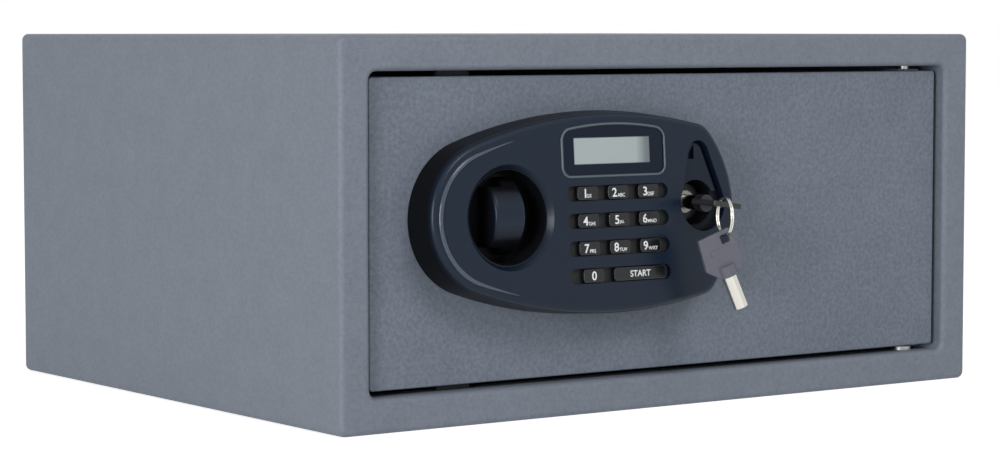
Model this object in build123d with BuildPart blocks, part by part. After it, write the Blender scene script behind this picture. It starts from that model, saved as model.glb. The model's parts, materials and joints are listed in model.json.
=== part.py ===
"""Electronic safe deposit box with a swinging door, a keypad panel and an override key.

The frame: +Z is up, -Y is the front and +X is the right as seen from the front.
The origin is the middle of the base, so the box stands on Z = 0.
All lengths are millimetres and all angles degrees.
A name in dx or dz is a place on the door: dx to the right of the knob axis, dz above mid height.
"""
import os
from math import atan2, cos, hypot, radians, sin, sqrt

from build123d import *

# ---------------------------------------------------------------- clearances and fits
weld_gap = 0.05          # between welded or pressed pieces of one body
running_gap = 0.06       # radial, shaft in bore
loose_gap = 0.3          # between pieces that pass each other
board_gap = 0.1          # between stacked electronic pieces

# ---------------------------------------------------------------- body of the box
body_width = 430.0
body_depth = 350.0
body_height = 200.0
sheet = 2.0              # body sheet thickness
body_bend = 4.0          # outer bend along the long edges
front_bend = 3.0         # outer bend round the front and round the door opening
flange_width = 18.0      # front flange, outside face to opening
lip_depth = 20.0         # return lip behind the flange
opening_corner = 5.0

anchor_hole_dia = 10.0
floor_anchor_x = 280.0   # spacing of the four floor anchors
floor_anchor_y = 180.0
back_anchor_x = 200.0    # spacing of the two back anchors

mat_thickness = 3.0
mat_margin = 2.0
mat_hole_dia = 24.0

# ---------------------------------------------------------------- door
door_thickness = 4.0
door_recess = 6.0        # door face behind the front flange
door_gap = 3.0           # all round
door_corner = 2.0
door_edge_round = 0.8

hinge_inset = 17.0       # pin axis from the hinged edge of the door
hinge_setback = 4.0      # pin axis behind the rear of the door plate
pin_dia = 6.0
pin_reach = 27.0         # pin beyond the lip
washer_dia = 12.0
washer_thickness = 2.0
hinge_block_width = 16.0
hinge_block_depth = 12.5
hinge_block_height = 28.0

stop_width = 20.0
stop_reach = 9.0
stop_thickness = 2.0
stop_gap = 0.5
stop_inset = 54.0        # from the free edge of the door

# ---------------------------------------------------------------- bolt work behind the door
knob_inset = 73.0        # knob axis from the free edge of the door
knob_dz = 7.0
bolt_dia = 18.0
bolt_throw = 20.0
bolt_tip_margin = 4.0    # retracted tip inside the door edge
bolt_length = 44.0
bolt_pitch = 80.0
bolt_nose = 2.0          # chamfer at the tip
bolt_lip_gap = 1.0       # bolt behind the return lip
rivet_dia = 8.0
rivet_reach = 5.0

guide_block_length = 13.0
guide_block_height = 25.0
guide_block_depth = 33.0

carrier_thickness = 3.0
carrier_web_depth = 12.0 # front of the carrier web
carrier_flange_depth = 17.0
carrier_margin = 9.0
crank_pin_dia = 6.0
crank_pin_play = 0.65    # each side, takes up the swing that is not straight
crank_disc_thickness = 5.0
crank_disc_depth = 5.0   # front of the crank disc
crank_rim = 5.0          # disc beyond the crank pin centre
crank_notch_width = 7.4
crank_notch_depth = 5.6
stud_dia = 6.0
stud_head_dia = 10.0
stud_head_thickness = 2.0
stud_thread_dia = 4.0
stud_thread_length = 3.0
carrier_stud_dx = -15.0
carrier_stud_offset_z = 28.0

spindle_dia = 8.0
bush_dia = 14.0
bush_flange_dia = 18.0
bush_flange_thickness = 1.5

# ---------------------------------------------------------------- solenoid and release link
plunger_dia = 5.0
plunger_stroke = 5.0
plunger_tip_gap = 0.6    # tip to crank disc rim, plunger drawn in
plunger_collar_dia = 6.6
plunger_collar_length = 1.5
plunger_collar_reach = 2.6
tail_washer_dia = 8.4
tail_washer_thickness = 1.5
solenoid_dx = 27.0
solenoid_length = 28.0
solenoid_height = 16.0
solenoid_depth = 15.0
solenoid_sheet = 1.5
tail_reach = 11.0        # plunger tail beyond the frame
spring_wire_wall = 0.6

link_thickness = 1.5
link_low_dz = 1.0
link_high_dz = 18.0
link_end_dx = 135.0
link_stud_dxs = (76.0, 101.0)
link_stud_dz = 12.5
link_tab_gap = 0.3

# ---------------------------------------------------------------- override lock
lock_dx = 123.0
lock_dz = 10.5
lock_bezel_dia = 21.0
lock_bezel_reach = 9.0   # bezel front beyond the door face
lock_bezel_thickness = 2.0
lock_body_dia = 19.0
lock_body_depth = 9.0    # behind the door plate
lock_core_dia = 12.0
lock_tail_dia = 5.6
lock_nut_across = 25.0
lock_nut_thickness = 4.0
cam_radius = 5.0         # cam pin from the lock axis
cam_pin_dia = 4.0
cam_disc_dia = 18.0
cam_thickness = 2.0
cam_gap = 0.5
cam_overrun = 1.2        # the cam pin leads a straight pull by a little more than 1 mm

# ---------------------------------------------------------------- rear cover of the door
cover_sheet = 1.2
cover_left_dx = -61.0
cover_right_dx = 201.0
cover_low_dz = -64.0
cover_high_dz = 64.0
cover_depth = 40.0
cover_round = 4.0
cover_flange = 8.0
cover_screw_dxs = (-29.0, 171.0)
cover_screw_dia = 4.0
cover_screw_head_dia = 7.0
cover_screw_head_height = 2.4

# ---------------------------------------------------------------- electronics on the door
board_left_dx = 141.0
board_right_dx = 197.0
board_low_dz = -56.0
board_high_dz = 50.0
board_thickness = 1.6
board_standoff = 5.0
standoff_dia = 6.0
standoff_inset = 5.0
harness_dia = 4.0
harness_dx = 83.0
harness_dz = -14.0
harness_hole_dia = 16.0
harness_bend = 9.6

cell_dia = 14.5
cell_length = 50.5
cell_pitch = 15.5
cell_count = 4
cell_centre_dx = 166.0
cell_centre_dz = 8.0
cell_depth = 28.5        # behind the door plate
cell_cap_dia = 5.5
cell_cap_length = 1.0
contact_thickness = 0.5
contact_size = 9.0
tray_wall = 1.5
tray_play = 0.5

battery_cover_overlap = 4.0
battery_cover_thickness = 2.0
battery_cover_round = 5.0
battery_lug_depth = 4.0
battery_lug_length = 20.0

reset_dx = 155.0
reset_dz = -44.0
reset_dia = 6.0
reset_travel = 2.0
reset_reach = 1.5        # proud of the cover
reset_collar_dia = 9.0
reset_switch_size = 6.0
reset_switch_height = 7.4
chip_size = 14.0         # controller near the top of the board
chip_rise = 2.0
chip_inset = 14.0
driver_width = 10.0      # solenoid driver near the left edge
driver_height = 6.0
driver_rise = 1.6
driver_inset = 14.0
capacitor_size = 8.0     # near the right edge
capacitor_rise = 6.0
capacitor_inset = 12.0

# ---------------------------------------------------------------- keypad panel on the door
panel_mid_dz = 6.6       # level line of the outline
panel_mid_dx = 67.0      # centre of the long top and bottom arcs
panel_half_height = 53.6
panel_long_radius = 276.0
panel_left_dx = -9.0
panel_right_dx = 84.0
panel_right_radius = 66.0
panel_corner = 14.0
panel_draft = 5.0        # degrees
panel_reach = 20.2       # face beyond the door at knob height
panel_tilt = 4.0         # degrees, the lower edge stands further out
panel_wall = 2.5
panel_edge_round = 3.0
panel_boss_dia = 8.0
panel_max_reach = 40.0    # longer than any part of the moulding, trimmed at the face
panel_boss_offsets = ((-29.0, 34.0), (-29.0, -21.0), (108.0, 45.0), (125.0, -24.0))
panel_screw_dia = 4.0
panel_screw_reach = 8.0
panel_screw_head_dia = 7.0
panel_screw_head_height = 2.2

dish_radius = 24.5
dish_flare = 2.8         # rim beyond the bore of the dish
dish_flare_depth = 3.0
dish_ledge = 0.5         # step between the bore of the dish and its flare
dish_wall = 2.0
dish_floor = 2.0

well_radius = 12.0
well_wall = 2.0
recess_top_dx = 124.5
recess_top_dz = 37.0
recess_top_radius = 6.8
recess_low_dx = 126.5
recess_low_dz = 10.0
recess_low_radius = 14.8
recess_depth = 4.0
recess_wall = 1.5
shutter_thickness = 1.8
shutter_side_gap = 3.4
shutter_travel = 8.0
shutter_stem_dia = 3.0
shutter_stem_head_dia = 5.6
shutter_stem_head = 1.2
shutter_stem_offset = 2.8  # stem beside the upright edge of the notch
shutter_notch = 6.0
shutter_notch_height = 7.8

lens_left_dx = 35.0
lens_right_dx = 100.0
lens_low = 20.8          # along the face, from knob height
lens_side = 42.4
lens_peak = 45.6
lens_corner = 4.0
lens_thickness = 1.4
lens_gap = 0.15
lens_rim_width = 1.2
lens_rim_height = 0.4
screen_left_dx = 40.4
screen_right_dx = 90.0
screen_low = 26.0
screen_high = 39.5
screen_thickness = 1.2
screen_margin = 2.5

key_pitch_x = 20.0
key_pitch_v = 14.3
key_width = 13.4
key_height = 7.0
row_count = 4
key_first_dx = 49.0
key_first_v = 10.9
zero_key_dx = 51.0
start_key_dx = 81.4
start_key_width = 34.2
key_proud = 0.9
key_travel = 0.8
key_corner = 1.6
key_edge_round = 0.5
trough_dx = 69.2
trough_length = 66.8
trough_height = 8.0
pad_thickness = 1.2      # rubber mat under the keys
pad_margin = 3.0
panel_board_left_dx = 27.0
panel_board_right_dx = 103.0
panel_board_low = -38.0
panel_board_high = 43.0

# ---------------------------------------------------------------- knob
knob_radius_z = 20.5
knob_reach = 17.6        # apex in front of the skirt's rear face
knob_right = 10.0
knob_left = 9.0
knob_left_half = 15.5
knob_skirt_radius = 22.0
knob_skirt = 1.5
knob_floor_gap = 0.3
knob_edge_round = 2.0
knob_bore_depth = 10.0

# ---------------------------------------------------------------- keys on the ring
shank_dia = 7.8
shank_bore = 5.8
shank_length = 18.0
shank_inset = 5.0        # shank inside the head
keyway_depth = 6.2
keyway_play = 0.15
head_length = 24.0
head_thickness = 2.8
head_top_half = 9.3
head_wide_half = 11.2
head_wide_up = 7.0
head_low_half = 4.6
head_corner = 1.0
collar_length = 6.0      # round collar of the head over the shank
head_round = 0.5
eye_low = -2.1           # eye of the head, across and along the key
eye_high = 7.4
eye_length = 6.8
spare_eye_low = 2.4      # the spare key's eye starts nearer its edge and is shorter
spare_eye_length = 5.0
eye_strip = 2.0
eye_corner = 0.8
emboss_width = 11.0
emboss_height = 2.8
emboss_gap = 1.2         # raised bar below the eye
emboss_rise = 0.3
key_tilt = 8.0           # inserted key about its own axis, eye side up
key_head_gap = 12.0      # head of the inserted key beyond the lock face

ring_radius = 10.0
ring_wire = 2.0
ring_turn = 17.0         # ring plane from the depth direction
ring_across = 3.1        # where it hangs in the inserted key's eye
ring_outward = 3.0
ring_gap = 0.35
spare_pivot = 6.0        # ring wire in the spare key's eye
spare_tilt = 23.0        # how the spare key hangs

# ================================================================ places worked out
front_y = -body_depth / 2
back_y = body_depth / 2
mid_z = body_height / 2
opening_width = body_width - 2 * flange_width
opening_height = body_height - 2 * flange_width
lip_y = front_y + lip_depth

door_width = opening_width - 2 * door_gap
door_height = opening_height - 2 * door_gap
door_left = -door_width / 2
door_right = door_width / 2
door_face_y = front_y + door_recess
door_rear_y = door_face_y + door_thickness

knob_x = door_left + knob_inset
knob_z = mid_z + knob_dz
stop_x = door_left + stop_inset
carrier_stud_x = knob_x + carrier_stud_dx
solenoid_x0 = knob_x + solenoid_dx
link_x1 = knob_x + link_end_dx
lock_x = knob_x + lock_dx
cover_x0 = knob_x + cover_left_dx
cover_x1 = knob_x + cover_right_dx
board_x0 = knob_x + board_left_dx
board_x1 = knob_x + board_right_dx
harness_x = knob_x + harness_dx
cell_centre_x = knob_x + cell_centre_dx
reset_x = knob_x + reset_dx
panel_mid_x = knob_x + panel_mid_dx
panel_left_x = knob_x + panel_left_dx
panel_right_x = knob_x + panel_right_dx
recess_top_x = knob_x + recess_top_dx
recess_low_x = knob_x + recess_low_dx
lens_x0 = knob_x + lens_left_dx
lens_x1 = knob_x + lens_right_dx
screen_x0 = knob_x + screen_left_dx
screen_x1 = knob_x + screen_right_dx
key_first_x = knob_x + key_first_dx
zero_key_x = knob_x + zero_key_dx
start_key_x = knob_x + start_key_dx
trough_x = knob_x + trough_dx
panel_board_x0 = knob_x + panel_board_left_dx
panel_board_x1 = knob_x + panel_board_right_dx
link_z0 = mid_z + link_low_dz
link_z1 = mid_z + link_high_dz
link_stud_z = mid_z + link_stud_dz
lock_z = mid_z + lock_dz
cover_z0 = mid_z + cover_low_dz
cover_z1 = mid_z + cover_high_dz
board_z0 = mid_z + board_low_dz
board_z1 = mid_z + board_high_dz
harness_z = mid_z + harness_dz
cell_centre_z = mid_z + cell_centre_dz
reset_z = mid_z + reset_dz
panel_mid_z = mid_z + panel_mid_dz
recess_top_z = mid_z + recess_top_dz
recess_low_z = mid_z + recess_low_dz
carrier_web_y = door_rear_y + carrier_web_depth
crank_disc_y = door_rear_y + crank_disc_depth
lock_body_rear_y = door_rear_y + lock_body_depth
cell_y = door_rear_y + cell_depth
link_stud_xs = tuple(knob_x + dx for dx in link_stud_dxs)
cover_screw_xs = tuple(knob_x + dx for dx in cover_screw_dxs)
panel_boss_points = tuple((knob_x + dx, mid_z + dz) for dx, dz in panel_boss_offsets)
plunger_y = crank_disc_y + crank_disc_thickness / 2

hinge_x = door_right - hinge_inset
hinge_y = door_rear_y + hinge_setback
lip_low_z = flange_width                       # upper face of the lower lip
lip_high_z = body_height - flange_width        # lower face of the upper lip

bolt_y = lip_y + bolt_lip_gap + bolt_dia / 2
bolt_tip_x = door_left + bolt_tip_margin
bolt_root_x = bolt_tip_x + bolt_length
bolt_zs = (knob_z - bolt_pitch / 2, knob_z + bolt_pitch / 2)
crank_side = bolt_throw / 2
crank_radius = crank_side * sqrt(2)
crank_disc_radius = crank_radius + crank_rim
plunger_tip_x = knob_x + crank_disc_radius + plunger_tip_gap
tail_x = solenoid_x0 + solenoid_length + tail_reach
cover_rear_y = door_rear_y + cover_depth

panel_base_y = door_face_y
panel_face_y = panel_base_y - panel_reach      # at knob height
skirt_y = panel_base_y - dish_floor - knob_floor_gap
knob_apex_y = skirt_y - knob_reach

lock_face_y = panel_base_y - lock_bezel_reach
well_floor_y = lock_face_y + lock_bezel_thickness
key_head_y = lock_face_y - key_head_gap


def facing(y):
    """Plane across the depth at y, seen from the front: local x is X and local y is Z."""
    return Plane(origin=(0, y, 0), x_dir=(1, 0, 0), z_dir=(0, -1, 0))


def level(z):
    """Horizontal plane at height z."""
    return Plane.XY.offset(z)


def side(x):
    """Plane across the width at x: local x is Y and local y is Z."""
    return Plane(origin=(x, 0, 0), x_dir=(0, 1, 0), z_dir=(1, 0, 0))


face_normal = (0, -cos(radians(panel_tilt)), sin(radians(panel_tilt)))


def on_face(depth=0.0):
    """Plane along the tilted panel face, depth below it: local y climbs from knob height."""
    origin = (0, panel_face_y - depth * face_normal[1], knob_z - depth * face_normal[2])
    return Plane(origin=origin, x_dir=(1, 0, 0), z_dir=face_normal)


def face_y(z, depth=0.0):
    """Depth coordinate of the panel face at height z."""
    return panel_face_y + (z - knob_z) * sin(radians(panel_tilt)) / cos(radians(panel_tilt)) + depth


def finish(part, name):
    """Label a sub-part and write its file."""
    part.label = name
    export_step(part, f"parts/{name}.step")


os.makedirs("parts", exist_ok=True)

# ================================================================ body of the box
with BuildPart() as body_shell:
    with BuildSketch(facing(back_y)):
        with Locations((0, mid_z)):
            RectangleRounded(body_width, body_height, body_bend)
    extrude(amount=body_depth)
    fillet(body_shell.faces().sort_by(Axis.Y)[0].edges(), front_bend)
    with BuildSketch(facing(back_y)):
        with Locations((0, mid_z)):
            RectangleRounded(body_width - 2 * sheet, body_height - 2 * sheet, body_bend - sheet)
    extrude(amount=body_depth - sheet, mode=Mode.SUBTRACT)
    with BuildSketch(facing(lip_y)):
        with Locations((0, mid_z)):
            RectangleRounded(opening_width + 2 * sheet, opening_height + 2 * sheet, opening_corner + sheet)
    extrude(amount=lip_depth)
    with BuildSketch(facing(lip_y)):
        with Locations((0, mid_z)):
            RectangleRounded(opening_width, opening_height, opening_corner)
    extrude(amount=lip_depth, mode=Mode.SUBTRACT)
    fillet(body_shell.faces().sort_by(Axis.Y)[0].inner_wires()[0].edges(), front_bend)
    with BuildSketch(level(lip_low_z - sheet)):
        with Locations((hinge_x, hinge_y)):
            Circle(pin_dia / 2 + weld_gap)
    extrude(amount=opening_height + 2 * sheet, mode=Mode.SUBTRACT)
    with BuildSketch(level(0)):
        with GridLocations(floor_anchor_x, floor_anchor_y, 2, 2):
            Circle(anchor_hole_dia / 2)
    extrude(amount=sheet, mode=Mode.SUBTRACT)
finish(body_shell.part, "body_shell")

with BuildPart() as back_panel:
    with BuildSketch(facing(back_y)):
        with Locations((0, mid_z)):
            RectangleRounded(body_width - 2 * (sheet + weld_gap), body_height - 2 * (sheet + weld_gap),
                             body_bend - sheet)
        with Locations((0, mid_z)):
            with GridLocations(back_anchor_x, 1, 2, 1):
                Circle(anchor_hole_dia / 2, mode=Mode.SUBTRACT)
    extrude(amount=sheet)
finish(back_panel.part, "back_panel")

with BuildPart() as floor_mat:
    with BuildSketch(level(sheet)):
        Rectangle(body_width - 2 * (sheet + mat_margin), body_depth - 2 * (sheet + mat_margin))
        with GridLocations(floor_anchor_x, floor_anchor_y, 2, 2):
            Circle(mat_hole_dia / 2, mode=Mode.SUBTRACT)
    extrude(amount=mat_thickness)
finish(floor_mat.part, "floor_mat")

stop_y = door_rear_y + stop_gap
with BuildPart() as door_stops:
    with BuildSketch(facing(stop_y + stop_thickness)):
        with Locations((stop_x, lip_low_z + stop_reach / 2), (stop_x, lip_high_z - stop_reach / 2)):
            Rectangle(stop_width, stop_reach)
    extrude(amount=stop_thickness)
finish(door_stops.part, "door_stops")

with BuildPart() as hinge_pins:
    for pin_start in (lip_low_z - sheet, lip_high_z - pin_reach):
        with BuildSketch(level(pin_start)):
            with Locations((hinge_x, hinge_y)):
                Circle(pin_dia / 2)
        extrude(amount=pin_reach + sheet)
finish(hinge_pins.part, "hinge_pins")

with BuildPart() as hinge_washer:
    with BuildSketch(level(lip_low_z)):
        with Locations((hinge_x, hinge_y)):
            Circle(washer_dia / 2)
            Circle(pin_dia / 2 + running_gap, mode=Mode.SUBTRACT)
    extrude(amount=washer_thickness)
finish(hinge_washer.part, "hinge_washer")

# ================================================================ door and what is welded to it
spindle_hole_radius = bush_dia / 2 + weld_gap
lock_hole_radius = lock_body_dia / 2 + weld_gap
cover_screw_points = [(x, z) for x in cover_screw_xs
                      for z in (cover_z0 - cover_flange / 2, cover_z1 + cover_flange / 2)]
guide_stud_points = [(carrier_stud_x, knob_z - carrier_stud_offset_z),
                     (carrier_stud_x, knob_z + carrier_stud_offset_z)]
guide_stud_points += [(x, link_stud_z) for x in link_stud_xs]

with BuildPart() as door_plate:
    with BuildSketch(facing(door_rear_y)):
        with Locations((0, mid_z)):
            RectangleRounded(door_width, door_height, door_corner)
        with Locations((knob_x, knob_z)):
            Circle(spindle_hole_radius, mode=Mode.SUBTRACT)
        with Locations((lock_x, lock_z)):
            Circle(lock_hole_radius, mode=Mode.SUBTRACT)
        with Locations((harness_x, harness_z)):
            Circle(harness_hole_dia / 2, mode=Mode.SUBTRACT)
        with Locations(*panel_boss_points):
            Circle(panel_screw_dia / 2 + weld_gap, mode=Mode.SUBTRACT)
    extrude(amount=door_thickness)
    fillet(door_plate.faces().sort_by(Axis.Y)[0].outer_wire().edges(), door_edge_round)
    with BuildSketch(facing(door_rear_y)):
        with Locations(*cover_screw_points, *guide_stud_points):
            Circle(cover_screw_dia / 2 + weld_gap)
    extrude(amount=stud_thread_length + weld_gap, mode=Mode.SUBTRACT)
finish(door_plate.part, "door_plate")

block_low_z = lip_low_z + washer_thickness + running_gap
block_high_z = body_height - block_low_z
with BuildPart() as hinge_blocks:
    for block_z in (block_low_z, block_high_z - hinge_block_height):
        with BuildSketch(level(block_z)):
            with Locations((hinge_x, door_rear_y + hinge_block_depth / 2)):
                Rectangle(hinge_block_width, hinge_block_depth)
            with Locations((hinge_x, hinge_y)):
                Circle(pin_dia / 2 + running_gap, mode=Mode.SUBTRACT)
        extrude(amount=hinge_block_height)
finish(hinge_blocks.part, "hinge_blocks")

with BuildPart() as bolt_guides:
    for bolt_z in bolt_zs:
        with BuildSketch(side(cover_x0 + cover_sheet + loose_gap)):
            with Locations((door_rear_y + guide_block_depth / 2, bolt_z)):
                Rectangle(guide_block_depth, guide_block_height)
            with Locations((bolt_y, bolt_z)):
                Circle(bolt_dia / 2 + running_gap, mode=Mode.SUBTRACT)
        extrude(amount=guide_block_length)
finish(bolt_guides.part, "bolt_guides")

stud_shoulder_end = carrier_web_y + carrier_thickness + loose_gap
with BuildPart() as guide_studs:
    with BuildSketch(facing(stud_shoulder_end)):
        with Locations(*guide_stud_points):
            Circle(stud_dia / 2)
    extrude(amount=stud_shoulder_end - door_rear_y)
    with BuildSketch(facing(stud_shoulder_end + stud_head_thickness)):
        with Locations(*guide_stud_points):
            Circle(stud_head_dia / 2)
    extrude(amount=stud_head_thickness)
    with BuildSketch(facing(door_rear_y)):
        with Locations(*guide_stud_points):
            Circle(stud_thread_dia / 2)
    extrude(amount=stud_thread_length)
finish(guide_studs.part, "guide_studs")

with BuildPart() as spindle_bush:
    with BuildSketch(facing(door_rear_y)):
        with Locations((knob_x, knob_z)):
            Circle(bush_dia / 2)
    extrude(amount=door_thickness)
    with BuildSketch(facing(door_rear_y + bush_flange_thickness)):
        with Locations((knob_x, knob_z)):
            Circle(bush_flange_dia / 2)
    extrude(amount=bush_flange_thickness)
    with BuildSketch(facing(door_rear_y + bush_flange_thickness)):
        with Locations((knob_x, knob_z)):
            Circle(spindle_dia / 2 + running_gap)
    extrude(amount=door_thickness + bush_flange_thickness, mode=Mode.SUBTRACT)
finish(spindle_bush.part, "spindle_bush")

# ================================================================ bolt work
with BuildPart() as bolts:
    for bolt_z in bolt_zs:
        with BuildSketch(side(bolt_tip_x)):
            with Locations((bolt_y, bolt_z)):
                Circle(bolt_dia / 2)
        extrude(amount=bolt_length)
        with BuildSketch(side(bolt_root_x)):
            with Locations((bolt_y, bolt_z)):
                Circle(rivet_dia / 2)
        extrude(amount=rivet_reach)
    chamfer(bolts.edges().group_by(Axis.X)[0], bolt_nose)
finish(bolts.part, "bolts")

crank_x = knob_x + crank_side
crank_z = knob_z + crank_side
carrier_x1 = crank_x + crank_pin_dia / 2 + crank_pin_play + carrier_margin
carrier_z0 = bolt_zs[0] - guide_block_height / 2
carrier_z1 = bolt_zs[1] + guide_block_height / 2
slot_rise = crank_radius - crank_side
with BuildPart() as bolt_carrier:
    with BuildSketch(facing(carrier_web_y + carrier_thickness)):
        with Locations(((bolt_root_x + carrier_x1) / 2, (carrier_z0 + carrier_z1) / 2)):
            Rectangle(carrier_x1 - bolt_root_x, carrier_z1 - carrier_z0)
        with Locations((crank_x, crank_z + slot_rise / 2)):
            Rectangle(crank_pin_dia + 2 * crank_pin_play,
                      slot_rise + crank_pin_dia + 2 * crank_pin_play, mode=Mode.SUBTRACT)
        for stud_z in (knob_z - carrier_stud_offset_z, knob_z + carrier_stud_offset_z):
            with Locations((carrier_stud_x + bolt_throw / 2, stud_z)):
                SlotCenterToCenter(bolt_throw + loose_gap, stud_dia + loose_gap, mode=Mode.SUBTRACT)
    extrude(amount=carrier_thickness)
    with BuildSketch(side(bolt_root_x)):
        with Locations((carrier_web_y + carrier_flange_depth / 2, (carrier_z0 + carrier_z1) / 2)):
            Rectangle(carrier_flange_depth, carrier_z1 - carrier_z0)
    extrude(amount=carrier_thickness)
    with BuildSketch(side(bolt_root_x)):
        with Locations(*[(bolt_y, bolt_z) for bolt_z in bolt_zs]):
            Circle(rivet_dia / 2 + weld_gap)
    extrude(amount=carrier_thickness, mode=Mode.SUBTRACT)
finish(bolt_carrier.part, "bolt_carrier")

crank_pin_end = carrier_web_y + carrier_thickness + loose_gap + crank_pin_play
with BuildPart() as crank_disc:
    with BuildSketch(facing(crank_disc_y + crank_disc_thickness)):
        with Locations((knob_x, knob_z)):
            Circle(crank_disc_radius)
            Circle(spindle_dia / 2 + weld_gap, mode=Mode.SUBTRACT)
        notch_centre = crank_disc_radius - crank_notch_depth / 2 + loose_gap
        with Locations((knob_x + notch_centre, knob_z)):
            Rectangle(crank_notch_depth + 2 * loose_gap, crank_notch_width, mode=Mode.SUBTRACT)
        with Locations((knob_x, knob_z - notch_centre)):
            Rectangle(crank_notch_width, crank_notch_depth + 2 * loose_gap, mode=Mode.SUBTRACT)
    extrude(amount=crank_disc_thickness)
    with BuildSketch(facing(crank_pin_end)):
        with Locations((crank_x, crank_z)):
            Circle(crank_pin_dia / 2)
    extrude(amount=crank_pin_end - crank_disc_y)
finish(crank_disc.part, "crank_disc")

spindle_end = crank_disc_y + crank_disc_thickness + loose_gap
with BuildPart() as spindle:
    with BuildSketch(facing(spindle_end)):
        with Locations((knob_x, knob_z)):
            Circle(spindle_dia / 2)
    extrude(amount=spindle_end - skirt_y + knob_bore_depth)
finish(spindle.part, "spindle")

# ================================================================ solenoid and release link
with BuildPart() as solenoid_frame:
    with BuildSketch(side(solenoid_x0)):
        with Locations((door_rear_y + solenoid_depth / 2, knob_z)):
            Rectangle(solenoid_depth, solenoid_height)
    extrude(amount=solenoid_length)
    with BuildSketch(side(solenoid_x0 + solenoid_sheet)):
        with Locations((door_rear_y + solenoid_depth / 2, knob_z)):
            Rectangle(solenoid_depth, solenoid_height - 2 * solenoid_sheet)
    extrude(amount=solenoid_length - 2 * solenoid_sheet, mode=Mode.SUBTRACT)
    with BuildSketch(side(solenoid_x0)):
        with Locations((plunger_y, knob_z)):
            Circle(plunger_dia / 2 + running_gap)
    extrude(amount=solenoid_length, mode=Mode.SUBTRACT)
finish(solenoid_frame.part, "solenoid_frame")

coil_length = solenoid_length - 2 * (solenoid_sheet + weld_gap)
with BuildPart() as solenoid_coil:
    with BuildSketch(side(solenoid_x0 + solenoid_sheet + weld_gap)):
        with Locations((plunger_y, knob_z)):
            Circle(solenoid_height / 2 - solenoid_sheet - weld_gap)
            Circle(plunger_dia / 2 + loose_gap, mode=Mode.SUBTRACT)
    extrude(amount=coil_length)
finish(solenoid_coil.part, "solenoid_coil")

collar_x = plunger_tip_x + plunger_collar_reach
with BuildPart() as plunger:
    for start_x, length, dia in ((plunger_tip_x, tail_x - plunger_tip_x, plunger_dia),
                                 (collar_x, plunger_collar_length, plunger_collar_dia),
                                 (tail_x - tail_washer_thickness, tail_washer_thickness, tail_washer_dia)):
        with BuildSketch(side(start_x)):
            with Locations((plunger_y, knob_z)):
                Circle(dia / 2)
        extrude(amount=length)
finish(plunger.part, "plunger")

spring_x0 = collar_x + plunger_collar_length + weld_gap
with BuildPart() as plunger_spring:
    with BuildSketch(side(spring_x0)):
        with Locations((plunger_y, knob_z)):
            Circle(plunger_dia / 2 + loose_gap + spring_wire_wall)
            Circle(plunger_dia / 2 + loose_gap, mode=Mode.SUBTRACT)
    extrude(amount=solenoid_x0 - spring_x0 - weld_gap)
finish(plunger_spring.part, "plunger_spring")

link_y = carrier_web_y
link_tab_x = tail_x - tail_washer_thickness - plunger_stroke - link_tab_gap
link_reach = plunger_y - plunger_dia / 2 - loose_gap
cam_slot_low = lock_z - cam_radius - cam_pin_dia / 2 - loose_gap
cam_slot_high = lock_z + cam_pin_dia / 2 + loose_gap
tail_slot_reach = lock_tail_dia / 2 + loose_gap
with BuildPart() as release_link:
    with BuildSketch(facing(link_y + link_thickness)):
        with Locations(((link_tab_x + link_x1) / 2, (link_z0 + link_z1) / 2)):
            Rectangle(link_x1 - link_tab_x + link_thickness, link_z1 - link_z0)
        for stud_x in link_stud_xs:
            with Locations((stud_x - plunger_stroke / 2, link_stud_z)):
                SlotCenterToCenter(plunger_stroke + loose_gap, stud_dia + loose_gap, mode=Mode.SUBTRACT)
        with Locations((lock_x + cam_overrun / 2, (cam_slot_low + cam_slot_high) / 2)):
            Rectangle(cam_pin_dia + cam_overrun + 2 * loose_gap, cam_slot_high - cam_slot_low,
                      mode=Mode.SUBTRACT)
        with Locations((lock_x - plunger_stroke / 2, lock_z)):
            Rectangle(plunger_stroke + 2 * tail_slot_reach, 2 * tail_slot_reach, mode=Mode.SUBTRACT)
    extrude(amount=link_thickness)
    with BuildSketch(side(link_tab_x - link_thickness)):
        with Locations(((link_reach + link_y + link_thickness) / 2, (link_z0 + link_z1) / 2)):
            Rectangle(link_y + link_thickness - link_reach, link_z1 - link_z0)
        with Locations((plunger_y, (link_z0 + knob_z) / 2)):
            Rectangle(plunger_dia + 2 * loose_gap, knob_z - link_z0 + plunger_dia + loose_gap,
                      mode=Mode.SUBTRACT)
    extrude(amount=link_thickness)
finish(release_link.part, "release_link")

# ================================================================ override lock
core_rear_y = lock_body_rear_y
cam_y = link_y + link_thickness + cam_gap
with BuildPart() as lock_cylinder:
    with BuildSketch(facing(well_floor_y)):
        with Locations((lock_x, lock_z)):
            Circle(lock_bezel_dia / 2)
    extrude(amount=lock_bezel_thickness)
    fillet(lock_cylinder.faces().sort_by(Axis.Y)[0].edges(), lock_bezel_thickness / 2)
    with BuildSketch(facing(lock_body_rear_y)):
        with Locations((lock_x, lock_z)):
            Circle(lock_body_dia / 2)
    extrude(amount=lock_body_rear_y - well_floor_y)
    with BuildSketch(facing(lock_body_rear_y)):
        with Locations((lock_x, lock_z)):
            Circle(lock_core_dia / 2 + running_gap)
    extrude(amount=lock_body_rear_y - lock_face_y, mode=Mode.SUBTRACT)
finish(lock_cylinder.part, "lock_cylinder")

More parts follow.
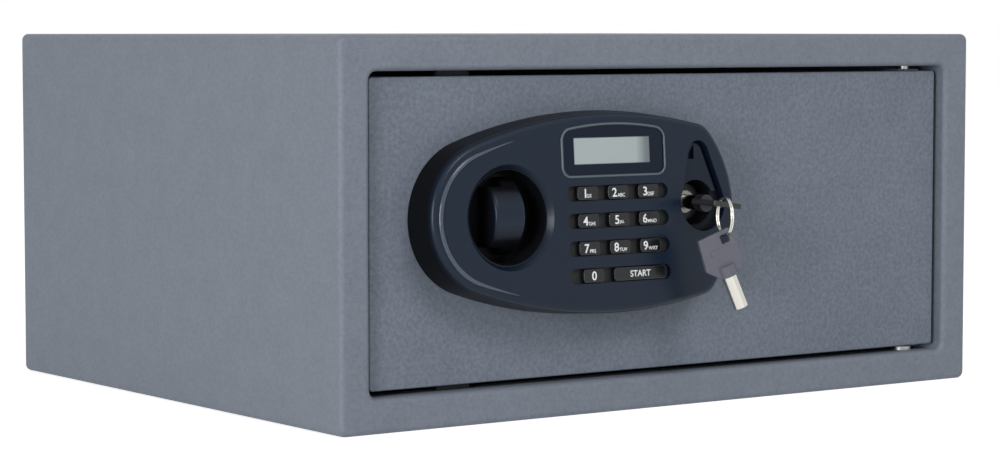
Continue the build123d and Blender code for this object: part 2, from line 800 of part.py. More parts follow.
with BuildPart() as lock_core:
    with BuildSketch(facing(core_rear_y)):
        with Locations((lock_x, lock_z)):
            Circle(lock_core_dia / 2)
    extrude(amount=core_rear_y - lock_face_y)
    with BuildSketch(facing(lock_face_y + keyway_depth)):
        with Locations((lock_x, lock_z)):
            Circle(shank_dia / 2 + keyway_play)
            Circle(shank_bore / 2 - keyway_play, mode=Mode.SUBTRACT)
    extrude(amount=keyway_depth, mode=Mode.SUBTRACT)
    with BuildSketch(facing(cam_y)):
        with Locations((lock_x, lock_z)):
            Circle(lock_tail_dia / 2)
    extrude(amount=cam_y - core_rear_y)
finish(lock_core.part, "lock_core")

with BuildPart() as release_cam:
    with BuildSketch(facing(cam_y + cam_thickness)):
        with Locations((lock_x, lock_z)):
            Circle(cam_disc_dia / 2)
    extrude(amount=cam_thickness)
    with BuildSketch(facing(cam_y)):
        with Locations((lock_x, lock_z - cam_radius)):
            Circle(cam_pin_dia / 2)
    extrude(amount=cam_y - link_y + loose_gap)
finish(release_cam.part, "release_cam")

with BuildPart() as lock_nut:
    with BuildSketch(facing(door_rear_y + lock_nut_thickness)):
        with Locations((lock_x, lock_z)):
            RegularPolygon(lock_nut_across / 2, 6, major_radius=False)
            Circle(lock_hole_radius, mode=Mode.SUBTRACT)
    extrude(amount=lock_nut_thickness)
finish(lock_nut.part, "lock_nut")

# ================================================================ rear cover, cells and board
cover_mid_x = (cover_x0 + cover_x1) / 2
cover_mid_z = (cover_z0 + cover_z1) / 2
cover_width = cover_x1 - cover_x0
cover_height = cover_z1 - cover_z0
tray_width = cell_length + cell_cap_length + 2 * (contact_thickness + tray_play)
tray_height = (cell_count - 1) * cell_pitch + cell_dia + 2 * tray_play
tray_front_y = cell_y - cell_dia / 2 - tray_play
with BuildPart() as lock_cover:
    with BuildSketch(facing(cover_rear_y)):
        with Locations((cover_mid_x, cover_mid_z)):
            Rectangle(cover_width, cover_height)
    extrude(amount=cover_depth)
    fillet(lock_cover.faces().sort_by(Axis.Y)[-1].edges(), cover_round)
    with BuildSketch(facing(cover_rear_y - cover_sheet)):
        with Locations((cover_mid_x, cover_mid_z)):
            Rectangle(cover_width - 2 * cover_sheet, cover_height - 2 * cover_sheet)
    extrude(amount=cover_depth - cover_sheet, mode=Mode.SUBTRACT)
    with BuildSketch(facing(door_rear_y + cover_sheet)):
        for flange_z in (cover_z0 - cover_flange / 2, cover_z1 + cover_flange / 2):
            with Locations((cover_mid_x, flange_z)):
                Rectangle(cover_width - 2 * cover_round, cover_flange)
        with Locations(*cover_screw_points):
            Circle(cover_screw_dia / 2 + weld_gap, mode=Mode.SUBTRACT)
    extrude(amount=cover_sheet)
    with BuildSketch(facing(cover_rear_y)):
        with Locations((cell_centre_x, cell_centre_z)):
            Rectangle(tray_width, tray_height)
        with Locations((reset_x, reset_z)):
            Circle(reset_dia / 2 + loose_gap)
    extrude(amount=cover_sheet + cover_round, mode=Mode.SUBTRACT)
    with BuildSketch(side(cover_x0)):
        with Locations(*[(bolt_y, bolt_z) for bolt_z in bolt_zs]):
            Circle(bolt_dia / 2 + loose_gap)
    extrude(amount=cover_sheet + cover_round, mode=Mode.SUBTRACT)
finish(lock_cover.part, "lock_cover")

cover_head_y = door_rear_y + cover_sheet
with BuildPart() as cover_screws:
    with BuildSketch(facing(cover_head_y + cover_screw_head_height)):
        with Locations(*cover_screw_points):
            Circle(cover_screw_head_dia / 2)
    extrude(amount=cover_screw_head_height)
    fillet(cover_screws.faces().sort_by(Axis.Y)[-4:].edges(), cover_screw_head_height / 3)
    with BuildSketch(facing(cover_head_y)):
        with Locations(*cover_screw_points):
            Circle(cover_screw_dia / 2)
    extrude(amount=cover_sheet + stud_thread_length)
finish(cover_screws.part, "cover_screws")

with BuildPart() as battery_tray:
    with BuildSketch(facing(cover_rear_y - cover_sheet)):
        with Locations((cell_centre_x, cell_centre_z)):
            Rectangle(tray_width + 2 * tray_wall, tray_height + 2 * tray_wall)
    extrude(amount=cover_rear_y - cover_sheet - tray_front_y + tray_wall)
    with BuildSketch(facing(cover_rear_y)):
        with Locations((cell_centre_x, cell_centre_z)):
            Rectangle(tray_width, tray_height)
    extrude(amount=cover_rear_y - tray_front_y, mode=Mode.SUBTRACT)
finish(battery_tray.part, "battery_tray")

cell_zs = [cell_centre_z + (row - (cell_count - 1) / 2) * cell_pitch for row in range(cell_count)]
cell_x0 = cell_centre_x - (cell_length + cell_cap_length) / 2
with BuildPart() as batteries:
    for row, cell_z in enumerate(cell_zs):
        can_x = cell_x0 + (row % 2) * cell_cap_length
        with BuildSketch(side(can_x)):
            with Locations((cell_y, cell_z)):
                Circle(cell_dia / 2)
        extrude(amount=cell_length)
        with BuildSketch(side(cell_x0)):
            with Locations((cell_y, cell_z)):
                Circle(cell_cap_dia / 2)
        extrude(amount=cell_length + cell_cap_length)
finish(batteries.part, "batteries")

with BuildPart() as battery_contacts:
    contact_reach = (cell_length + cell_cap_length) / 2 + tray_play
    for contact_x in (cell_centre_x - contact_reach - contact_thickness, cell_centre_x + contact_reach):
        with BuildSketch(side(contact_x)):
            with Locations(*[(cell_y, cell_z) for cell_z in cell_zs]):
                Rectangle(contact_size, contact_size)
        extrude(amount=contact_thickness)
finish(battery_contacts.part, "battery_contacts")

battery_cover_width = tray_width + 2 * battery_cover_overlap
battery_cover_height = tray_height + 2 * battery_cover_overlap
with BuildPart() as battery_cover:
    with BuildSketch(facing(cover_rear_y + battery_cover_thickness)):
        with Locations((cell_centre_x, cell_centre_z)):
            RectangleRounded(battery_cover_width, battery_cover_height, battery_cover_round)
    extrude(amount=battery_cover_thickness)
    chamfer(battery_cover.faces().sort_by(Axis.Y)[-1].edges(), battery_cover_thickness / 3)
    lug_z = tray_height / 2 - loose_gap - tray_wall / 2
    with BuildSketch(facing(cover_rear_y)):
        with Locations((cell_centre_x, cell_centre_z - lug_z), (cell_centre_x, cell_centre_z + lug_z)):
            Rectangle(battery_lug_length, tray_wall)
    extrude(amount=battery_lug_depth)
finish(battery_cover.part, "battery_cover")

board_front_y = door_rear_y + board_standoff
board_rear_y = board_front_y + board_thickness
standoff_points = [(x, z) for x in (board_x0 + standoff_inset, board_x1 - standoff_inset)
                   for z in (board_z0 + standoff_inset, board_z1 - standoff_inset)]
with BuildPart() as board_standoffs:
    with BuildSketch(facing(board_front_y)):
        with Locations(*standoff_points):
            Circle(standoff_dia / 2)
    extrude(amount=board_standoff)
finish(board_standoffs.part, "board_standoffs")

board_mid_x = (board_x0 + board_x1) / 2
board_mid_z = (board_z0 + board_z1) / 2
board_parts = ((board_mid_x, board_z1 - chip_inset, chip_size, chip_size, chip_rise),
               (board_x0 + driver_inset, board_mid_z, driver_width, driver_height, driver_rise),
               (board_x1 - capacitor_inset, board_mid_z + capacitor_inset, capacitor_size, capacitor_size,
                capacitor_rise),
               (reset_x, reset_z, reset_switch_size, reset_switch_size, reset_switch_height))
with BuildPart() as main_board:
    with BuildSketch(facing(board_rear_y)):
        with Locations((board_mid_x, board_mid_z)):
            Rectangle(board_x1 - board_x0, board_z1 - board_z0)
    extrude(amount=board_thickness)
    for part_x, part_z, part_width, part_height, part_rise in board_parts:
        with BuildSketch(facing(board_rear_y + part_rise)):
            with Locations((part_x, part_z)):
                Rectangle(part_width, part_height)
        extrude(amount=part_rise)
finish(main_board.part, "main_board")

switch_y = board_rear_y + reset_switch_height
reset_end_y = switch_y + reset_travel + loose_gap
with BuildPart() as reset_button:
    with BuildSketch(facing(cover_rear_y + reset_reach)):
        with Locations((reset_x, reset_z)):
            Circle(reset_dia / 2)
    extrude(amount=cover_rear_y + reset_reach - reset_end_y)
    fillet(reset_button.faces().sort_by(Axis.Y)[-1].edges(), reset_reach / 2)
    with BuildSketch(facing(cover_rear_y - cover_sheet - loose_gap)):
        with Locations((reset_x, reset_z)):
            Circle(reset_collar_dia / 2)
    extrude(amount=reset_travel)
finish(reset_button.part, "reset_button")

# ================================================================ moulded keypad panel
panel_long_centre = panel_long_radius - panel_half_height     # below and above the level line
panel_left_radius = panel_long_radius - hypot(panel_left_x - panel_mid_x, panel_long_centre)


def panel_outline(inset=0.0):
    """Return the panel's egg-shaped outline as a sketch, moved inwards by inset."""
    long_radius = panel_long_radius - inset
    left_radius = panel_left_radius - inset
    right_radius = panel_right_radius - inset
    lean = atan2(panel_long_centre, panel_left_x - panel_mid_x)
    tangent = (panel_left_x + left_radius * cos(lean), left_radius * sin(lean))
    span = hypot(panel_right_x - panel_mid_x, panel_long_centre)
    along = (long_radius ** 2 - right_radius ** 2 + span ** 2) / (2 * span)
    across = sqrt(long_radius ** 2 - along ** 2)
    ux, uz = (panel_right_x - panel_mid_x) / span, panel_long_centre / span
    corner = (panel_mid_x + along * ux + across * uz, -panel_long_centre + along * uz - across * ux)
    peak = (panel_mid_x, panel_half_height - inset)
    with BuildSketch() as outline:
        with BuildLine():
            ThreePointArc(corner, peak, tangent)
            ThreePointArc(tangent, (panel_left_x - left_radius, 0), (tangent[0], -tangent[1]))
            ThreePointArc((tangent[0], -tangent[1]), (peak[0], -peak[1]), (corner[0], -corner[1]))
            ThreePointArc((corner[0], -corner[1]), (panel_right_x + right_radius, 0), corner)
        make_face()
        fillet(outline.vertices().sort_by(Axis.X)[-2:], panel_corner - inset)
    return outline.sketch


def egg(grow=0.0, shift=0.0):
    """Return the outline of the recess round the lock, in the face's own coordinates."""
    with BuildSketch() as outline:
        with Locations((recess_top_x - shift, recess_top_z - knob_z)):
            Circle(recess_top_radius + grow)
        with Locations((recess_low_x - shift, recess_low_z - knob_z)):
            Circle(recess_low_radius + grow)
        make_hull()
    return outline.sketch


def lens_outline(grow=0.0):
    """Return the display window's outline, with its arched top edge."""
    left, right = lens_x0 - grow, lens_x1 + grow
    low, shoulder = lens_low - grow, lens_side + grow
    with BuildSketch() as outline:
        with BuildLine():
            Polyline((left, shoulder), (left, low), (right, low), (right, shoulder))
            ThreePointArc((right, shoulder), ((left + right) / 2, lens_peak + grow), (left, shoulder))
        make_face()
        fillet(outline.vertices(), lens_corner + grow)
    return outline.sketch


with BuildPart() as panel_cavity:
    with BuildSketch(facing(panel_base_y)):
        with Locations((0, panel_mid_z)):
            add(panel_outline(panel_wall))
    extrude(amount=panel_max_reach, taper=panel_draft)
    split(bisect_by=on_face(panel_wall), keep=Keep.BOTTOM)

key_rows = [key_first_v - row * key_pitch_v for row in range(row_count)]
with BuildPart() as panel_ribs:
    with BuildSketch(facing(panel_base_y)):
        with Locations(*panel_boss_points):
            Circle(panel_boss_dia / 2)
        with Locations((knob_x, knob_z)):
            Circle(dish_radius + dish_wall)
        with Locations((lock_x, lock_z)):
            Circle(well_radius + well_wall)
    extrude(amount=panel_max_reach)
    split(bisect_by=on_face(panel_wall / 2), keep=Keep.BOTTOM)
    with BuildSketch(on_face(panel_wall / 2)):
        add(egg(recess_wall))
    extrude(amount=-(recess_depth + recess_wall - panel_wall / 2))

notch_edge_x = recess_top_x - shutter_side_gap / 2
stem_x = notch_edge_x + shutter_stem_offset
stem_v = recess_top_z - knob_z
with BuildPart() as panel_housing:
    with BuildSketch(facing(panel_base_y)):
        with Locations((0, panel_mid_z)):
            add(panel_outline())
    extrude(amount=panel_max_reach, taper=panel_draft)
    split(bisect_by=on_face(), keep=Keep.BOTTOM)
    fillet(panel_housing.faces().sort_by(Axis.Y)[0].edges(), panel_edge_round)
    add(panel_cavity.part, mode=Mode.SUBTRACT)
    add(panel_ribs.part)
    with BuildSketch(on_face()):
        add(lens_outline(lens_rim_width))
    extrude(amount=lens_rim_height)
    # dish of the knob
    with BuildSketch(facing(panel_base_y - dish_floor)):
        with Locations((knob_x, knob_z)):
            Circle(dish_radius)
    extrude(amount=panel_max_reach, mode=Mode.SUBTRACT)
    with BuildSketch(on_face(dish_flare_depth)):
        with Locations((knob_x, 0)):
            Circle(dish_radius + dish_ledge)
    with BuildSketch(on_face()):
        with Locations((knob_x, 0)):
            Circle(dish_radius + dish_flare)
    loft(mode=Mode.SUBTRACT)
    with BuildSketch(facing(panel_base_y)):
        with Locations((knob_x, knob_z)):
            Circle(bush_dia / 2 + loose_gap)
    extrude(amount=dish_floor, mode=Mode.SUBTRACT)
    # recess and well of the lock
    with BuildSketch(on_face(recess_depth)):
        add(egg())
    extrude(amount=panel_max_reach, mode=Mode.SUBTRACT)
    with BuildSketch(facing(well_floor_y)):
        with Locations((lock_x, lock_z)):
            Circle(well_radius)
    extrude(amount=panel_max_reach, mode=Mode.SUBTRACT)
    with BuildSketch(facing(panel_base_y)):
        with Locations((lock_x, lock_z)):
            Circle(lock_hole_radius)
    extrude(amount=panel_base_y - well_floor_y, mode=Mode.SUBTRACT)
    with BuildSketch(on_face(recess_depth + recess_wall)):
        with Locations((stem_x, stem_v - shutter_travel / 2)):
            SlotCenterToCenter(shutter_travel, shutter_stem_dia + loose_gap, rotation=90)
    extrude(amount=recess_wall, mode=Mode.SUBTRACT)
    # display window
    with BuildSketch(on_face(lens_thickness)):
        add(lens_outline(lens_gap))
    extrude(amount=panel_max_reach, mode=Mode.SUBTRACT)
    with BuildSketch(on_face(panel_wall)):
        with Locations(((screen_x0 + screen_x1) / 2, (screen_low + screen_high) / 2)):
            Rectangle(screen_x1 - screen_x0, screen_high - screen_low)
    extrude(amount=panel_wall, mode=Mode.SUBTRACT)
    # openings of the key rows
    with BuildSketch(on_face(panel_wall)):
        for row_v in key_rows:
            with Locations((trough_x, row_v)):
                SlotOverall(trough_length, trough_height)
    extrude(amount=panel_max_reach, mode=Mode.SUBTRACT)
    with BuildSketch(facing(panel_base_y)):
        with Locations(*panel_boss_points):
            Circle(panel_screw_dia / 2 + weld_gap)
    extrude(amount=panel_screw_reach, mode=Mode.SUBTRACT)
finish(panel_housing.part, "panel_housing")

with BuildPart() as panel_screws:
    with BuildSketch(facing(door_rear_y + panel_screw_head_height)):
        with Locations(*panel_boss_points):
            Circle(panel_screw_head_dia / 2)
    extrude(amount=panel_screw_head_height)
    with BuildSketch(facing(door_rear_y)):
        with Locations(*panel_boss_points):
            Circle(panel_screw_dia / 2)
    extrude(amount=door_thickness + panel_screw_reach - loose_gap)
finish(panel_screws.part, "panel_screws")

with BuildPart() as display_window:
    with BuildSketch(on_face(lens_thickness)):
        add(lens_outline())
    extrude(amount=lens_thickness)
finish(display_window.part, "display_window")

stack_depth = panel_wall + board_gap
with BuildPart() as display_module:
    with BuildSketch(on_face(stack_depth + screen_thickness)):
        with Locations(((screen_x0 + screen_x1) / 2, (screen_low + screen_high) / 2)):
            Rectangle(screen_x1 - screen_x0 + 2 * screen_margin,
                      screen_high - screen_low + 2 * screen_margin)
    extrude(amount=screen_thickness)
finish(display_module.part, "display_module")

pad_low = key_rows[-1] - trough_height / 2
pad_high = key_rows[0] + trough_height / 2
with BuildPart() as keypad_mat:
    with BuildSketch(on_face(stack_depth + pad_thickness)):
        with Locations((trough_x, (pad_low + pad_high) / 2)):
            Rectangle(trough_length + 2 * pad_margin, pad_high - pad_low + pad_margin)
    extrude(amount=pad_thickness)
finish(keypad_mat.part, "keypad_mat")

panel_board_depth = stack_depth + max(pad_thickness, screen_thickness) + board_gap + board_thickness
with BuildPart() as keypad_board:
    with BuildSketch(on_face(panel_board_depth)):
        with Locations(((panel_board_x0 + panel_board_x1) / 2, (panel_board_low + panel_board_high) / 2)):
            Rectangle(panel_board_x1 - panel_board_x0, panel_board_high - panel_board_low)
    extrude(amount=board_thickness)
finish(keypad_board.part, "keypad_board")

with BuildPart() as wiring_harness:
    harness_start_y = face_y(harness_z, panel_board_depth + board_gap)
    harness_start_y += harness_dia * sin(radians(panel_tilt))
    harness_run_y = board_front_y - board_gap - harness_dia / 2
    harness_end_x = board_x0 + harness_dia / 2
    with BuildLine() as harness_path:
        FilletPolyline((harness_x, harness_start_y, harness_z), (harness_x, harness_run_y, harness_z),
                       (harness_end_x, harness_run_y, harness_z), radius=harness_bend)
    with BuildSketch(Plane(origin=harness_path.line @ 0, z_dir=harness_path.line % 0)):
        Circle(harness_dia / 2)
    sweep(path=harness_path.line)
finish(wiring_harness.part, "wiring_harness")

# ================================================================ keys of the keypad
key_depth = stack_depth - key_travel - board_gap


def make_keypad_key(name, centre_x, centre_v, width):
    """Build one key cap, standing a little proud of the panel face."""
    with BuildPart() as keypad_key:
        with BuildSketch(on_face(key_depth)):
            with Locations((centre_x, centre_v)):
                RectangleRounded(width, key_height, key_corner)
        extrude(amount=key_depth + key_proud)
        fillet(keypad_key.faces().sort_by(Axis.Y)[0].edges(), key_edge_round)
    finish(keypad_key.part, name)


for digit in range(1, 10):
    key_column, key_row = (digit - 1) % 3, (digit - 1) // 3
    make_keypad_key(f"keypad_{digit}", key_first_x + key_column * key_pitch_x, key_rows[key_row], key_width)
make_keypad_key("keypad_0", zero_key_x, key_rows[-1], key_width)
make_keypad_key("keypad_start", start_key_x, key_rows[-1], start_key_width)

# ================================================================ shutter over the lock
with BuildPart() as shutter:
    with BuildSketch(on_face(recess_depth - loose_gap)):
        add(egg(-shutter_side_gap / 2, shutter_side_gap / 2 - loose_gap))
        with Locations((lock_x, lock_z - knob_z)):
            Circle(well_radius + loose_gap, mode=Mode.SUBTRACT)
        with Locations((recess_low_x, lock_z - knob_z - recess_low_radius)):
            Rectangle(3 * recess_low_radius, 2 * recess_low_radius + well_radius, mode=Mode.SUBTRACT)
        with BuildLine():
            notch_v = recess_top_z - knob_z - shutter_notch / 2
            Polyline((notch_edge_x - shutter_notch, notch_v), (notch_edge_x, notch_v),
                     (notch_edge_x, notch_v + shutter_notch_height), close=True)
        make_face(mode=Mode.SUBTRACT)
    extrude(amount=shutter_thickness)
    stem_length = recess_wall + 2 * loose_gap + shutter_stem_head
    with BuildSketch(on_face(recess_depth - loose_gap + stem_length)):
        with Locations((stem_x, stem_v)):
            Circle(shutter_stem_dia / 2)
    extrude(amount=stem_length)
    with BuildSketch(on_face(recess_depth - loose_gap + stem_length)):
        with Locations((stem_x, stem_v)):
            Circle(shutter_stem_head_dia / 2)
    extrude(amount=shutter_stem_head)
finish(shutter.part, "shutter")

# ================================================================ knob
def make_grip_half(flank_x, start_x, width, half_length):
    """Return one half of the knob's domed grip, rounded where the dome meets the flank."""
    low_end, high_end = (skirt_y, knob_z - knob_radius_z), (skirt_y, knob_z + knob_radius_z)
    with BuildPart() as half:
        with BuildSketch(side(start_x)):
            with BuildLine():
                ThreePointArc(low_end, (knob_apex_y, knob_z), high_end)
                Line(high_end, low_end)
            make_face()
            with Locations((skirt_y, knob_z)):
                Rectangle(2 * panel_reach, 2 * half_length, mode=Mode.INTERSECT)
        extrude(amount=width)
        flank = half.faces().filter_by(Axis.X).sort_by_distance((flank_x, skirt_y, knob_z))[0]
        fillet(flank.edges().filter_by(GeomType.CIRCLE), knob_edge_round)
    return half.part


with BuildPart() as knob:
    with BuildSketch(facing(skirt_y)):
        with Locations((knob_x, knob_z)):
            Circle(knob_skirt_radius)
    extrude(amount=knob_skirt)
    add(make_grip_half(knob_x + knob_right, knob_x, knob_right, knob_radius_z))
    add(make_grip_half(knob_x - knob_left, knob_x - knob_left, knob_left, knob_left_half))
    with BuildSketch(facing(skirt_y)):
        with Locations((knob_x, knob_z)):
            Circle(spindle_dia / 2 + weld_gap)
    extrude(amount=knob_bore_depth, mode=Mode.SUBTRACT)
finish(knob.part, "knob")

# ================================================================ keys and ring
ring_aim = radians(ring_turn)
ring_along = Vector(-sin(ring_aim), -cos(ring_aim), 0)       # level line in the ring's plane
ring_across_dir = Vector(cos(ring_aim), -sin(ring_aim), 0)   # square to the ring's plane
upright = Vector(0, 0, 1)
key_lean = radians(key_tilt)
strip_middle = head_length - eye_strip / 2
key_across = Vector(-cos(key_lean), 0, sin(key_lean))
key_origin = Vector(lock_x, key_head_y, lock_z)
key_along = Vector(0, -1, 0)
strip_point = key_origin + key_across * ring_across + key_along * strip_middle
ring_bore_radius = ring_radius - ring_wire / 2
strip_reach = ring_outward + eye_strip / 2 / cos(ring_aim)
ring_drop = sqrt(ring_bore_radius ** 2 - strip_reach ** 2)
ring_centre = strip_point + ring_along * ring_outward + upright * (head_thickness / 2 + ring_gap - ring_drop)
spare_pivot_point = ring_centre - upright * ring_radius
spare_lean = radians(spare_tilt)
spare_across = ring_across_dir * cos(spare_lean) + upright * sin(spare_lean)
spare_along = upright * cos(spare_lean) - ring_across_dir * sin(spare_lean)
spare_eye_up = head_length - eye_strip - ring_wire / 2 - ring_gap
spare_origin = spare_pivot_point - spare_across * spare_pivot - spare_along * spare_eye_up


def make_key(name, origin, across, along, eye_start, eye_span):
    """Build a tubular key's shank and head.

    across and along are the head's own directions; the eye starts at eye_start across and is eye_span long.
    """
    flat = Plane(origin=origin, x_dir=across, z_dir=across.cross(along))
    shank_plane = Plane(origin=origin + along * shank_inset, x_dir=across, z_dir=-along)
    collar_plane = Plane(origin=origin + along * collar_length, x_dir=across, z_dir=-along)
    with BuildPart() as shank:
        with BuildSketch(shank_plane):
            Circle(shank_dia / 2)
            Circle(shank_bore / 2, mode=Mode.SUBTRACT)
        extrude(amount=shank_inset + shank_length)
    finish(shank.part, f"{name}_shank")
    with BuildPart() as head:
        with BuildSketch(flat) as head_sketch:
            with BuildLine():
                Polyline((-head_low_half, 0), (head_low_half, 0), (head_wide_half, head_wide_up),
                         (head_top_half, head_length), (-head_top_half, head_length),
                         (-head_wide_half, head_wide_up), close=True)
            make_face()
            fillet(head_sketch.vertices(), head_corner)
        extrude(amount=head_thickness / 2, both=True)
        fillet(head.faces().filter_by(flat).edges(), head_round)
        with BuildSketch(collar_plane):
            Circle(head_low_half)
        extrude(amount=collar_length)
        eye_top = head_length - eye_strip
        with BuildSketch(flat):
            with Locations(((eye_start + eye_high) / 2, eye_top - eye_span / 2)):
                RectangleRounded(eye_high - eye_start, eye_span, eye_corner)
        extrude(amount=head_thickness, both=True, mode=Mode.SUBTRACT)
        with BuildSketch(flat):
            with Locations((0, eye_top - eye_span - emboss_gap - emboss_height / 2)):
                Rectangle(emboss_width, emboss_height)
        extrude(amount=head_thickness / 2 + emboss_rise)
        with BuildSketch(shank_plane):
            Circle(shank_dia / 2 + weld_gap)
        extrude(amount=shank_inset, mode=Mode.SUBTRACT)
    finish(head.part, f"{name}_head")


make_key("inserted_key", key_origin, key_across, key_along, eye_low, eye_length)
make_key("spare_key", spare_origin, spare_across, spare_along, spare_eye_low, spare_eye_length)

with BuildPart() as key_ring:
    wire_plane = Plane(origin=ring_centre, x_dir=ring_along, z_dir=(0, 0, 1))
    with BuildSketch(wire_plane):
        with Locations((ring_radius, 0)):
            Circle(ring_wire / 2)
    revolve(axis=Axis(ring_centre, ring_across_dir))
finish(key_ring.part, "key_ring")
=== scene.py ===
"""Looks of the safe deposit box: finishes, printed legends, trim, felt mat, split ring, spring and light.

The frame: +Z is up, -Y is the front and +X is the right. Sizes are written in millimetres and turned
to metres by the constant MM when a mesh is made.
"""

import json
import logging
from dataclasses import dataclass
from enum import Enum
from math import atan2, cos, hypot, pi, radians, sin

import bpy
import numpy as np
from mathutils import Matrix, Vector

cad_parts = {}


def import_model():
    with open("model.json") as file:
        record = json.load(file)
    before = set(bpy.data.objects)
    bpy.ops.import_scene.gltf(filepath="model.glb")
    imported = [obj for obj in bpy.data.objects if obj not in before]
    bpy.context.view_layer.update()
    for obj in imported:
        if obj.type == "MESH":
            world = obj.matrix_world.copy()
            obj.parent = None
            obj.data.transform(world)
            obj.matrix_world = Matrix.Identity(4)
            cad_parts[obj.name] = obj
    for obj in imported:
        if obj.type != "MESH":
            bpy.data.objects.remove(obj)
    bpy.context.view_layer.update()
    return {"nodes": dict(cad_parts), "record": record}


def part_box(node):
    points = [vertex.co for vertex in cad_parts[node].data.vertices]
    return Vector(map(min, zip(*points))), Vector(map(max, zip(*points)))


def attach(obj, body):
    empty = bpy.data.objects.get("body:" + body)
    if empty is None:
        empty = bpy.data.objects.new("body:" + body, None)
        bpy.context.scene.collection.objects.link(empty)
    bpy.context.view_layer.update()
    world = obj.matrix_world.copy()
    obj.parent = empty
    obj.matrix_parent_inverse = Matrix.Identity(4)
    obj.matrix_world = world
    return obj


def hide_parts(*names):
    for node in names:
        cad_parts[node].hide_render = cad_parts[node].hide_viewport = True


MM = 0.001
# Nearly all of the shader's noise lies between these two values.
NOISE_LOW, NOISE_HIGH = 0.3, 0.7
Materials = dict[str, bpy.types.Material]
log = logging.getLogger("safe_deposit_box")


# -------------------- small tools
def linear(code: str) -> tuple[float, float, float, float]:
    """Turn an sRGB hex colour into linear light.

    Each part is divided by 12.92 near black; above that it is ((part + 0.055) / 1.055) ^ 2.4.

    Args:
        code: Six hex digits.

    Returns:
        Red, green, blue and an alpha of 1.
    """
    parts = [int(code[i:i + 2], 16) / 255 for i in (0, 2, 4)]
    red, green, blue = [p / 12.92 if p <= 0.04045 else ((p + 0.055) / 1.055) ** 2.4 for p in parts]
    return red, green, blue, 1.0


def add_node(tree: bpy.types.NodeTree, kind: str, inputs: dict[int | str, object] | None = None,
             **settings: object) -> bpy.types.Node:
    """Add a shader node with its settings, values and links.

    Args:
        tree: The node tree that it joins.
        kind: Blender's name of the node type.
        inputs: A value or an output socket for each input, by name or number.
        settings: Attributes of the node itself.

    Returns:
        The new node.
    """
    made = tree.nodes.new(kind)
    for name, value in settings.items():
        setattr(made, name, value)
    for name, value in (inputs or {}).items():
        if isinstance(value, bpy.types.NodeSocket):
            tree.links.new(value, made.inputs[name])
        else:
            made.inputs[name].default_value = value
    return made


def per_metre(size_mm: float) -> float:
    """Return the texture scale that makes features of size_mm."""
    return 1 / (size_mm * MM)


WHITE = linear("FFFFFF")


# -------------------- the panel's plane
@dataclass(frozen=True)
class PanelFace:
    """The tilted plane of the panel, with x across, v up the face from knob height and rise off it."""

    y_at_knob: float = -189.2
    knob_z: float = 107.0
    tilt: float = 4.0

    def place(self, x: np.ndarray, v: np.ndarray, rise: np.ndarray) -> np.ndarray:
        """Place points on the face: x * X + v * up + rise * normal, measured from it at knob height.

        Args:
            x: Distance across, in millimetres.
            v: Distance up the face.
            rise: Height off the face.

        Returns:
            Points, with X, Y and Z along the last axis.
        """
        lean = radians(self.tilt)
        y = self.y_at_knob + v * sin(lean) - rise * cos(lean)
        z = self.knob_z + v * cos(lean) + rise * sin(lean)
        return np.stack(np.broadcast_arrays(x, y, z), -1)


